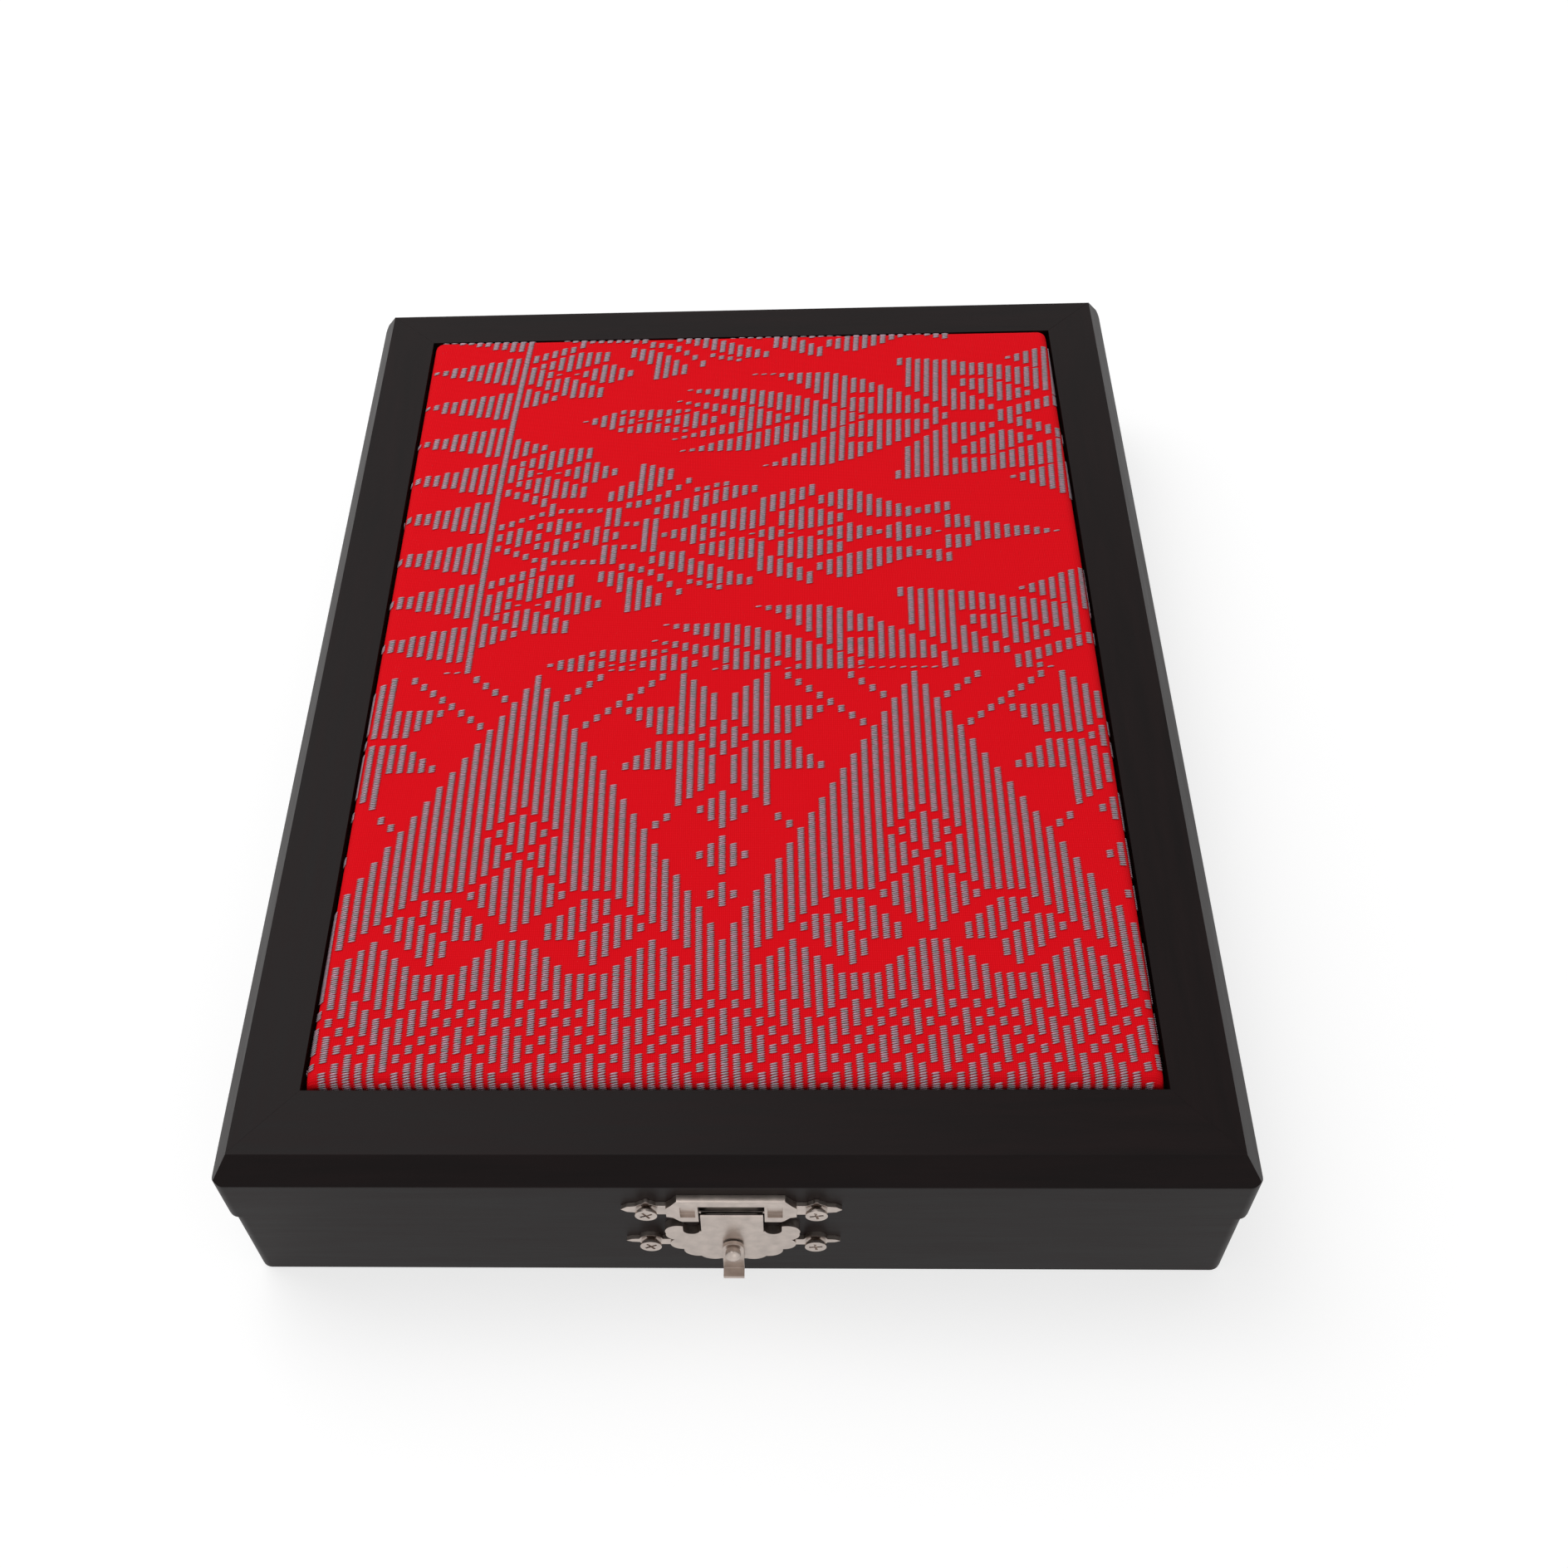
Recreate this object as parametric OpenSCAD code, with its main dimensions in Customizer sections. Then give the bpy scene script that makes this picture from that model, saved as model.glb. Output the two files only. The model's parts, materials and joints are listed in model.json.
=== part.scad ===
// Hinged keepsake box of lacquered wood.
// A padded panel of brocade is let into the lid, and a spring catch closes the front.
// Units are millimetres. The origin is the middle of the underside.
// +Z is up and the catch faces -Y. The part is drawn with its lid shut.

/* [Box body] */
// Width of the lid, left to right
box_w = 200; // [150:1:260]
// Depth of the lid, front to back
box_d = 264; // [200:1:340]
// Height of the tray, from the table to the seam
base_h = 25.2; // [24:0.2:45]
// Thickness of the tray walls and of the lid walls
wall_t = 8; // [7:0.5:12]
// How far each face of the tray stands inside the lid's face
base_inset = 0.6; // [0.2:0.1:0.8]
// Radius of the eased upright corners
corner_r = 2.5; // [1:0.5:5]
// Gap between the tray and the shut lid
seam_gap = 0.4; // [0.3:0.1:0.8]

/* [Lid] */
// Height of the lid walls, under the top frame
lid_wall_h = 13.3; // [12:0.1:20]
// Thickness of the top frame
frame_t = 6.3; // [5:0.1:9]
// Width of the left and right frame rails
frame_side_w = 16; // [13:0.5:24]
// Width of the front frame rail
frame_front_w = 17.5; // [13:0.5:24]
// Width of the back frame rail
frame_back_w = 15.6; // [13:0.2:24]
// How far the outer bevel reaches in over the frame
bevel_w = 3.8; // [1.5:0.1:6]
// How far the outer bevel reaches down
bevel_h = 6.1; // [2:0.1:6.2]

/* [Padded panel] */
// Gap between the frame and the cloth at the panel's side
pad_gap = 0.8; // [0.4:0.1:2]
// Thickness of the brocade
cloth_t = 0.5; // [0.3:0.05:1]
// Thickness of the board inside the padded panel
pad_board_t = 3; // [2:0.25:4]
// How far the turned edge stands over the frame's top
pad_rise = 1.4; // [0.5:0.1:3]
// How much higher the middle of the panel is than its turned edge
pad_crown = 0.6; // [0.2:0.1:2]
// Radius of the panel's turned edge
pad_round = 2.6; // [1.5:0.1:3.5]
// Radius of the panel's corners in plan
pad_corner_r = 3; // [2:0.25:6]
// Width of the cloth turned in under the panel board
hem_w = 12; // [6:1:20]

/* [Boards and linings] */
// Thickness of the bottom board
bottom_t = 3.5; // [2.5:0.5:6]
// How far the bottom board reaches in under the walls
rabbet_w = 4; // [2:0.5:5]
// Thickness of the board that closes the lid under the frame
backing_t = 3; // [2:0.25:4]
// Thickness of the velvet linings
lining_t = 1.2; // [0.8:0.1:2]
// How far the wall linings stop below the seam
lining_drop = 1.5; // [0.5:0.5:5]
// Clearance round every board and lining
board_fit = 0.1; // [0.05:0.05:0.3]

/* [Hinges] */
// Distance between the middles of the two hinges
hinge_spacing = 120; // [60:1:130]
// Length of a hinge
hinge_len = 24; // [18:1:36]
// Thickness of a hinge leaf
leaf_t = 0.9; // [0.7:0.05:1.1]
// How far a leaf reaches in over the tray's back wall
leaf_in = 6.4; // [5.5:0.1:6.5]
// Gap between the two leaves when the lid is shut
leaf_gap = 0.1; // [0.06:0.02:0.2]
// Outer radius of the hinge barrel
barrel_r = 2; // [1.7:0.1:2.5]
// Gap between the barrel and the back of the lid
barrel_off = 0.4; // [0.3:0.1:1]
// Radius of the hinge pin
pin_r = 0.8; // [0.6:0.05:1]
// Radial play round a hinge pin, and round a screw
pin_play = 0.05; // [0.03:0.01:0.08]
// Gap between neighbouring knuckles
knuckle_gap = 0.2; // [0.1:0.05:0.4]
// Angle at which the hinge tails stop the lid
open_angle = 105; // [90:1:120]
// Reach of a stop tail beyond the barrel
tail_reach = 4; // [2.5:0.5:6]
// Thickness of a stop tail
tail_t = 1; // [0.8:0.1:1.5]

/* [Catch] */
// Half the width of the tongue that stands up over the seam
tongue_half = 6.1; // [5.8:0.1:6.5]
// Height of the tongue's top edge over the seam
tongue_top = 3.4; // [2.6:0.1:4.5]
// Depth of the catch's cover plate, from its face to the wood
cover_t = 1.7; // [1.4:0.1:2.2]
// Thickness of the stamped sheet
sheet_t = 0.8; // [0.6:0.05:0.9]
// Thickness of the screw ears on both plates
ear_t = 0.9; // [0.7:0.05:1.2]
// Height of the strike plate's face over the lid
strike_t = 1.5; // [1.2:0.1:2]
// Sideways play of the tongue in the strike plate
tongue_play = 0.3; // [0.2:0.05:0.6]
// Height of the strike plate's top edge over the seam
strike_top = 10.7; // [10.2:0.1:11.2]
// Height of the strike plate's cross bar
strike_bar_h = 2.3; // [1.8:0.1:2.6]
// Distance from the box's middle to a plate screw
ear_x = 16.4; // [16:0.1:18]
// Height of the strike plate's screws over the seam
strike_ear_z = 6; // [5.6:0.1:6.4]
// Depth of the cover plate's screws under the seam
cover_ear_z = 9.6; // [9.2:0.1:10.2]
// Depth of the pocket behind the catch, from the tray's face
pocket_d = 4.4; // [4.2:0.1:5]
// Depth of the catch's pivot under the seam
pivot_z = 6; // [5.5:0.1:6.5]
// Distance of the pivot behind the tray's face
pivot_in = 2.4; // [2.2:0.1:2.6]
// Radius of the pivot pin
pivot_r = 0.75; // [0.6:0.05:0.85]
// Radius of the rolled eye on the catch lever
lever_eye_r = 1.4; // [1.2:0.05:1.5]
// Half the width of the catch lever
lever_half = 4.9; // [4.3:0.1:5]
// How far the latched nose reaches over the keeper bar
nose_bite = 0.5; // [0.3:0.05:0.6]
// Turn of the catch between latched and just clear of the keeper
latch_turn = 4; // [3.8:0.1:5]
// Depth of the ball rivet under the seam
rivet_z = 9.6; // [9.4:0.1:10]
// Radius of the ball
ball_r = 1.55; // [1.3:0.05:1.9]
// Width of the thumb tab
tab_w = 4.2; // [3.8:0.1:5]
// Depth of the tab's lower edge under the seam
tab_z = 18.2; // [17.6:0.1:19]
// How far the tab's lip stands out
lip_out = 1.9; // [1:0.1:3]

/* [Screws] */
// Radius of a plate screw's head
head_r = 2.15; // [1.8:0.05:2.3]
// Distance of a plate screw's face from the wood
head_out = 2.2; // [2:0.1:2.6]
// Radius of a plate screw's shank
shank_r = 0.8; // [0.6:0.05:0.95]
// Length of a plate screw in the wood
shank_len = 6; // [4:0.5:6.5]
// Radius of a hinge screw's head
hinge_head_r = 1.55; // [1.3:0.05:1.8]
// Radius of a hinge screw's shank
hinge_shank_r = 0.8; // [0.6:0.05:0.9]
// Length of a hinge screw in the wood
hinge_screw_len = 7; // [5:0.5:9]

/* [Hidden] */
$fn = 64;
eps = 0.01;
over = 1;

wood = [0.15, 0.12, 0.13];
board = [0.72, 0.6, 0.42];
velvet = [0.42, 0.04, 0.08];
brocade = [0.8, 0.1, 0.14];
nickel = [0.62, 0.56, 0.5];
foam_tone = [0.93, 0.9, 0.8];
steel = [0.5, 0.5, 0.52];

// Levels, from the table up
seam_z = base_h + seam_gap / 2;
lid_z = base_h + seam_gap;
frame_z = lid_z + lid_wall_h;
top_z = frame_z + frame_t;

// Half sizes of the lid and of the tray, outside and inside their walls
lid_x = box_w / 2;
lid_y = box_d / 2;
lid_in_x = lid_x - wall_t;
lid_in_y = lid_y - wall_t;
base_x = lid_x - base_inset;
base_y = lid_y - base_inset;
base_in_x = base_x - wall_t;
base_in_y = base_y - wall_t;

// The opening in the top frame, and the padded panel in it
open_x = lid_x - frame_side_w;
open_front = -lid_y + frame_front_w;
open_back = lid_y - frame_back_w;
pad_mid_y = (open_front + open_back) / 2;
pad_x = open_x - pad_gap;
pad_y = (open_back - open_front) / 2 - pad_gap;
pad_low = frame_z + board_fit;
pad_edge = top_z + pad_rise - pad_round;
pad_top = top_z + pad_rise + pad_crown;
pad_board_z = pad_low + cloth_t + board_fit;
foam_z = pad_board_z + pad_board_t + board_fit;

// Hinges
hinge_y = lid_y + barrel_off + barrel_r;
hinge_xs = [-hinge_spacing / 2, hinge_spacing / 2];
leaf_y = base_y - leaf_in;
leaf_end = hinge_y - barrel_r - barrel_off;
mortise_d = leaf_t + leaf_gap / 2 - seam_gap / 2;
knuckle_in = hinge_len / 6 - knuckle_gap / 2;
knuckle_out = hinge_len / 6 + knuckle_gap / 2;
tail_gap = 0.04;
knuckle_root = 1.2;
tail_ease = 0.2;
pin_head_r = pin_r + 0.5;
pin_head_t = 0.6;
mortise_play = 0.1;
hinge_screw_x = hinge_len / 2 - 4.5;
hinge_screw_y = leaf_y + leaf_in / 2;

// Catch: heights are from the seam, and depths from the tray's front face
opening_half = tongue_half + tongue_play;
flange_t = 0.6;
strike_pocket_half = opening_half + flange_t + 0.2;
strike_pocket_d = pocket_d + base_inset - 0.2;
keeper_low = 2.2;
keeper_t = 0.8;
keeper_front = -lid_y + 0.1;
keeper_back = keeper_front + 0.9;
pivot_y = -base_y + pivot_in;
lever_lift = 0.2;
nose_front = keeper_back - nose_bite;
lever_front = keeper_back + 0.4;
lever_low = rivet_z + 1.6;
lug_t = sheet_t;
lug_out = lever_half + 0.3 + lug_t;
pocket_half = lug_out + 0.3;
pocket_low = lever_low + 1.3;
tab_gap = 0.15;
tab_back = -base_y - cover_t - tab_gap;
rivet_r = 0.8;
rivet_hole_r = 1.6;
spring_t = 0.3;
eye_r = 2.45;
eye_hole_r = 1;
dish_r = 2.1;

// General shapes

// A rectangle with round corners, centred on the origin
module round_rect(half_x, half_y, r) {
    square([2 * (half_x - r), 2 * half_y], center = true);
    square([2 * half_x, 2 * (half_y - r)], center = true);
    for (sx = [-1, 1], sy = [-1, 1])
        translate([sx * (half_x - r), sy * (half_y - r)]) circle(r);
}

// A block with eased upright corners
module eased_block(half_x, half_y, z, h)
    translate([0, 0, z]) linear_extrude(h) round_rect(half_x, half_y, corner_r);

// A box from its low corner to its high corner
module span(low, high) translate(low) cube(high - low);

// A plate upright in X and Z whose back lies at y, and which is t thick towards the front
module upright(y, z, t) translate([0, y, z]) rotate([90, 0, 0]) linear_extrude(t) children();

// A cylinder along Y from y0 back to y1
module bore_y(x, z, y0, y1, r)
    translate([x, y1, z]) rotate([90, 0, 0]) cylinder(h = y1 - y0, r = r);

// A cylinder along X, centred on x = 0
module bar_x(y, z, len, r) translate([-len / 2, y, z]) rotate([0, 90, 0]) cylinder(h = len, r = r);

// Plan of a mitred rail on one side: its outer corners and its inner corners
module mitre_front(ox, oy, ix, iy) polygon([[-ox, -oy], [ox, -oy], [ix, -iy], [-ix, -iy]]);
module mitre_back(ox, oy, ix, iy) polygon([[ox, oy], [-ox, oy], [-ix, iy], [ix, iy]]);
module mitre_left(ox, oy, ix, fy, by) polygon([[-ox, oy], [-ox, -oy], [-ix, fy], [-ix, by]]);
module mitre_right(ox, oy, ix, fy, by) polygon([[ox, -oy], [ox, oy], [ix, by], [ix, fy]]);

// Tray

// A tray wall: the mitred plan given as a child, eased corners and the rabbet for the board
module base_wall() color(wood) difference() {
    intersection() {
        linear_extrude(base_h) children();
        eased_block(base_x, base_y, 0, base_h);
    }
    span([-base_in_x - rabbet_w, -base_in_y - rabbet_w, -over],
         [base_in_x + rabbet_w, base_in_y + rabbet_w, bottom_t]);
}

module base_front_wall() color(wood) difference() {
    base_wall() mitre_front(base_x, base_y, base_in_x, base_in_y);
    span([-pocket_half, -base_y - over, seam_z - pocket_low],
         [pocket_half, -base_y + pocket_d, base_h + over]);
    for (side = [-1, 1])
        bore_y(side * ear_x, seam_z - cover_ear_z, -base_y - over, -base_y + shank_len + 0.2,
               shank_r + pin_play);
}

module base_back_wall() color(wood) difference() {
    base_wall() mitre_back(base_x, base_y, base_in_x, base_in_y);
    for (x = hinge_xs) {
        span([x - hinge_len / 2 - mortise_play, leaf_y - mortise_play, base_h - mortise_d],
             [x + hinge_len / 2 + mortise_play, base_y + over, base_h + over]);
        for (side = [-1, 1])
            translate([x + side * hinge_screw_x, hinge_screw_y, base_h - mortise_d - hinge_screw_len])
                cylinder(h = hinge_screw_len + over, r = hinge_shank_r + pin_play);
    }
}

module base_left_wall()
    base_wall() mitre_left(base_x, base_y, base_in_x, -base_in_y, base_in_y);
module base_right_wall()
    base_wall() mitre_right(base_x, base_y, base_in_x, -base_in_y, base_in_y);

module base_bottom_board() color(board) {
    half_x = base_in_x + rabbet_w - board_fit;
    half_y = base_in_y + rabbet_w - board_fit;
    span([-half_x, -half_y, 0], [half_x, half_y, bottom_t]);
}

module base_floor_lining() color(velvet)
    span([-base_in_x + board_fit, -base_in_y + board_fit, bottom_t],
         [base_in_x - board_fit, base_in_y - board_fit, bottom_t + lining_t]);

// A lining strip along the front (side = -1) or the back wall of the tray
module lining_long(side) color(velvet) {
    y0 = side * (base_in_y - board_fit);
    y1 = side * (base_in_y - board_fit - lining_t);
    span([-base_in_x + board_fit, min(y0, y1), bottom_t + lining_t],
         [base_in_x - board_fit, max(y0, y1), base_h - lining_drop]);
}

// A lining strip along the left (side = -1) or the right wall, between the long strips
module lining_short(side) color(velvet) {
    x0 = side * (base_in_x - board_fit);
    x1 = side * (base_in_x - board_fit - lining_t);
    half_y = base_in_y - lining_t - 2 * board_fit;
    span([min(x0, x1), -half_y, bottom_t + lining_t],
         [max(x0, x1), half_y, base_h - lining_drop]);
}

module base_front_lining() lining_long(-1);
module base_back_lining() lining_long(1);
module base_left_lining() lining_short(-1);
module base_right_lining() lining_short(1);

// Lid

module lid_wall() color(wood) intersection() {
    translate([0, 0, lid_z]) linear_extrude(lid_wall_h) children();
    eased_block(lid_x, lid_y, lid_z, lid_wall_h);
}

module lid_front_wall() color(wood) difference() {
    lid_wall() mitre_front(lid_x, lid_y, lid_in_x, lid_in_y);
    span([-strike_pocket_half, -lid_y - over, lid_z - over],
         [strike_pocket_half, -lid_y + strike_pocket_d, seam_z + strike_top - strike_bar_h]);
    for (side = [-1, 1])
        bore_y(side * ear_x, seam_z + strike_ear_z, -lid_y - over, -lid_y + shank_len + 0.2,
               shank_r + pin_play);
}

module lid_back_wall() color(wood) difference() {
    lid_wall() mitre_back(lid_x, lid_y, lid_in_x, lid_in_y);
    for (x = hinge_xs) {
        span([x - hinge_len / 2 - mortise_play, leaf_y - mortise_play, lid_z - over],
             [x + hinge_len / 2 + mortise_play, lid_y + over, lid_z + mortise_d]);
        for (side = [-1, 1])
            translate([x + side * hinge_screw_x, hinge_screw_y, lid_z - over])
                cylinder(h = hinge_screw_len + mortise_d + over, r = hinge_shank_r + pin_play);
    }
}

module lid_left_wall() lid_wall() mitre_left(lid_x, lid_y, lid_in_x, -lid_in_y, lid_in_y);
module lid_right_wall() lid_wall() mitre_right(lid_x, lid_y, lid_in_x, -lid_in_y, lid_in_y);

// Everything outside the four outer bevels of the top frame
module bevel_waste() {
    lean = atan(bevel_w / bevel_h);
    long = max(box_w, box_d) + 20;
    for (side = [0, 1]) mirror([side, 0, 0])
        translate([lid_x, 0, top_z - bevel_h]) rotate([0, -lean, 0])
            translate([0, -long / 2, 0]) cube([20, long, 20]);
    for (side = [0, 1]) mirror([0, side, 0])
        translate([0, lid_y, top_z - bevel_h]) rotate([lean, 0, 0])
            translate([-long / 2, 0, 0]) cube([long, 20, 20]);
}

module frame_rail() color(wood) difference() {
    intersection() {
        translate([0, 0, frame_z]) linear_extrude(frame_t) children();
        eased_block(lid_x, lid_y, frame_z, frame_t);
    }
    bevel_waste();
}

module frame_front_rail()
    frame_rail() mitre_front(lid_x, lid_y, open_x, -open_front);
module frame_back_rail()
    frame_rail() mitre_back(lid_x, lid_y, open_x, open_back);
module frame_left_rail()
    frame_rail() mitre_left(lid_x, lid_y, open_x, open_front, open_back);
module frame_right_rail()
    frame_rail() mitre_right(lid_x, lid_y, open_x, open_front, open_back);

module lid_backing_board() color(board)
    span([-lid_in_x + board_fit, -lid_in_y + board_fit, frame_z - backing_t],
         [lid_in_x - board_fit, lid_in_y - board_fit, frame_z]);

module lid_lining() color(velvet)
    span([-lid_in_x + board_fit, -lid_in_y + board_fit, frame_z - backing_t - lining_t],
         [lid_in_x - board_fit, lid_in_y - board_fit, frame_z - backing_t]);

// Padded panel

// Points of a loop drawn in by s from the panel's outer edge, at height z
corner_steps = 3;
function loop_radius(s) = max(pad_corner_r - s, 0.6);
function loop(s, z) = [
    for (q = [0:3], k = [0:corner_steps])
        let (a = 90 * q + 90 * k / corner_steps,
             r = loop_radius(s),
             cx = (q == 0 || q == 3 ? 1 : -1) * (pad_x - s - r),
             cy = (q < 2 ? 1 : -1) * (pad_y - s - r))
        [cx + r * cos(a), pad_mid_y + cy + r * sin(a), z]
];
loop_n = 4 * (corner_steps + 1);

// Height of the crown at a distance s in from the panel's edge, for a surface d inside the cloth's
crown_reach = 55;
function crown_z(s, d) =
    let (u = min(max((s - pad_round) / crown_reach, 0), 1))
    pad_edge + pad_round + pad_crown * (1 - pow(1 - u, 2)) - d;

// Profile of the turned edge and the crown, from the side inwards, for a surface d inside
crown_in = [1.5, 4, 9, 16, 26, 38, 55];
function turned_profile(d) = concat(
    [for (a = [0:18:90]) [d + (pad_round - d) * (1 - cos(a)), pad_edge + (pad_round - d) * sin(a)]],
    [for (s = crown_in) [pad_round + s, crown_z(pad_round + s, d)]]);

// A closed skin through a stack of loops. The first and the last loop are filled flat.
module loop_skin(profile) {
    n = len(profile);
    points = concat([for (p = profile) each loop(p[0], p[1])],
                    [[0, pad_mid_y, profile[0][1]], [0, pad_mid_y, profile[n - 1][1]]]);
    faces = concat(
        [for (i = [0:n - 2], k = [0:loop_n - 1])
            let (a = i * loop_n + k, b = i * loop_n + (k + 1) % loop_n)
            each [[a, a + loop_n, b], [b, a + loop_n, b + loop_n]]],
        [for (k = [0:loop_n - 1]) [k, (k + 1) % loop_n, n * loop_n]],
        [for (k = [0:loop_n - 1])
            let (top = (n - 1) * loop_n)
            [top + (k + 1) % loop_n, top + k, n * loop_n + 1]]);
    polyhedron(points = points, faces = faces);
}

// A closed skin whose first and last loops are joined, for the folded cloth
module ring_skin(profile, peak, hollow) {
    n = len(profile);
    points = concat([for (p = profile) each loop(p[0], p[1])],
                    [[0, pad_mid_y, profile[peak][1]], [0, pad_mid_y, profile[hollow][1]]]);
    faces = concat(
        [for (i = [0:n - 1], k = [0:loop_n - 1])
            let (a = i * loop_n + k, b = i * loop_n + (k + 1) % loop_n,
                 j = ((i + 1) % n) * loop_n, c = j + k, d = j + (k + 1) % loop_n)
            if (i != peak) each [[a, c, b], [b, c, d]]],
        [for (k = [0:loop_n - 1])
            [peak * loop_n + (k + 1) % loop_n, peak * loop_n + k, n * loop_n]],
        [for (k = [0:loop_n - 1])
            [hollow * loop_n + k, hollow * loop_n + (k + 1) % loop_n, n * loop_n + 1]]);
    polyhedron(points = points, faces = faces);
}

fold_r = 0.4;
module songket_cover() color(brocade) {
    outside = concat([[hem_w, pad_low], [fold_r, pad_low], [0, pad_low + fold_r]], turned_profile(0));
    inside_up = concat([[cloth_t, pad_low + cloth_t]], turned_profile(cloth_t));
    inside = concat([for (i = [len(inside_up) - 1:-1:0]) inside_up[i]],
                    [[hem_w, pad_low + cloth_t]]);
    ring_skin(concat(outside, inside), len(outside) - 1, len(outside));
}

module pad_foam() color(foam_tone) {
    d = cloth_t + board_fit;
    loop_skin(concat([[d, foam_z]], turned_profile(d)));
}

module pad_board() color(board)
    translate([0, pad_mid_y, pad_board_z]) linear_extrude(pad_board_t)
        round_rect(pad_x - cloth_t - board_fit, pad_y - cloth_t - board_fit, pad_corner_r - cloth_t);

// Hinges

// A stop tail, cut back where the other leaf's knuckles are; up = 1 on the lid, -1 on the tray
module tail(up) {
    half = hinge_len / 2 - tail_ease;
    split = up > 0 ? knuckle_in - tail_ease : knuckle_out + tail_ease;
    clear = barrel_r + barrel_off;
    middle = up > 0 ? knuckle_root : clear;
    side = up > 0 ? clear : knuckle_root;
    tip = barrel_r + tail_reach;
    translate([0, hinge_y, seam_z]) rotate([up * open_angle / 2, 0, 0])
        translate([0, 0, up > 0 ? tail_gap : -tail_gap - tail_t]) linear_extrude(tail_t)
            polygon([[-half, side], [-split, side], [-split, middle], [split, middle],
                     [split, side], [half, side], [half, tip], [-half, tip]]);
}

// One hinge leaf with its knuckles and stop tail, about x = 0
module leaf(up) {
    half = hinge_len / 2;
    plate_z = up > 0 ? seam_z + leaf_gap / 2 : seam_z - leaf_gap / 2 - leaf_t;
    own = up > 0 ? [[-knuckle_in, knuckle_in]] : [[-half, -knuckle_out], [knuckle_out, half]];
    difference() {
        union() {
            span([-half, leaf_y, plate_z], [half, leaf_end, plate_z + leaf_t]);
            for (k = own) {
                span([k[0], leaf_end - eps, plate_z], [k[1], hinge_y - knuckle_root, plate_z + leaf_t]);
                translate([k[0], hinge_y, seam_z]) rotate([0, 90, 0])
                    cylinder(h = k[1] - k[0], r = barrel_r);
            }
            tail(up);
        }
        bar_x(hinge_y, seam_z, hinge_len + 2, pin_r + pin_play);
        for (side = [-1, 1]) translate([side * hinge_screw_x, hinge_screw_y, plate_z]) {
            translate([0, 0, -over]) cylinder(h = leaf_t + 2 * over, r = hinge_shank_r + pin_play);
            translate([0, 0, up > 0 ? leaf_t : 0]) mirror([0, 0, up > 0 ? 1 : 0])
                cylinder(h = leaf_t, r1 = hinge_shank_r + pin_play, r2 = hinge_head_r + 2 * pin_play);
        }
    }
}

module hinge_left_base_leaf() color(nickel) translate([hinge_xs[0], 0, 0]) leaf(-1);
module hinge_right_base_leaf() color(nickel) translate([hinge_xs[1], 0, 0]) leaf(-1);
module hinge_left_lid_leaf() color(nickel) translate([hinge_xs[0], 0, 0]) leaf(1);
module hinge_right_lid_leaf() color(nickel) translate([hinge_xs[1], 0, 0]) leaf(1);

module hinge_pins() color(steel) for (x = hinge_xs) translate([x, 0, 0]) {
    bar_x(hinge_y, seam_z, hinge_len + 0.2, pin_r);
    for (side = [-1, 1])
        translate([side * (hinge_len / 2 + 0.1 + pin_head_t / 2), 0, 0])
            bar_x(hinge_y, seam_z, pin_head_t, pin_head_r);
}

// A countersunk screw with its face at z = 0 and its point down
slot_d = 0.3;
module hinge_screw() difference() {
    union() {
        translate([0, 0, -leaf_t]) cylinder(h = leaf_t, r1 = hinge_shank_r, r2 = hinge_head_r);
        translate([0, 0, -leaf_t - hinge_screw_len + 1.6])
            cylinder(h = hinge_screw_len - 1.6 + eps, r = hinge_shank_r);
        translate([0, 0, -leaf_t - hinge_screw_len + 0.1])
            cylinder(h = 1.5 + eps, r1 = 0.15, r2 = hinge_shank_r);
    }
    for (a = [0, 90]) rotate([0, 0, a]) translate([-0.9, -0.17, -slot_d])
        cube([1.8, 0.34, slot_d + over]);
}

module hinge_screws(up) color(nickel)
    for (x = hinge_xs, side = [-1, 1])
        translate([x + side * hinge_screw_x, hinge_screw_y, seam_z + up * (leaf_gap / 2 + 0.05)])
            mirror([0, 0, up > 0 ? 1 : 0]) hinge_screw();

module hinge_base_screws() hinge_screws(-1);
module hinge_lid_screws() hinge_screws(1);

// Catch

// A screw ear: bar, dished eye, bud and an optional nub. Outline about the eye's centre
module ear_outline(side, bar_end, bar_low, bar_high, bud_half, bud_len) {
    circle(eye_r);
    polygon([[0, bar_low], [-side * bar_end, bar_low], [-side * bar_end, bar_high], [0, bar_high]]);
    polygon([[side * (eye_r - 0.6), -bud_half * 1.3], [side * (eye_r + bud_len * 0.55), -bud_half],
             [side * (eye_r + bud_len), 0], [side * (eye_r + bud_len * 0.55), bud_half],
             [side * (eye_r - 0.6), bud_half * 1.3]]);
}

// The hole and the dish in an ear, cut from the front of a plate whose back lies at y
module ear_hole(x, y, z) {
    bore_y(x, z, y - ear_t - over, y + over, eye_hole_r);
    translate([x, y - 0.1, z]) rotate([90, 0, 0])
        cylinder(h = ear_t - 0.1 + eps, r1 = eye_hole_r, r2 = dish_r);
}

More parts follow.
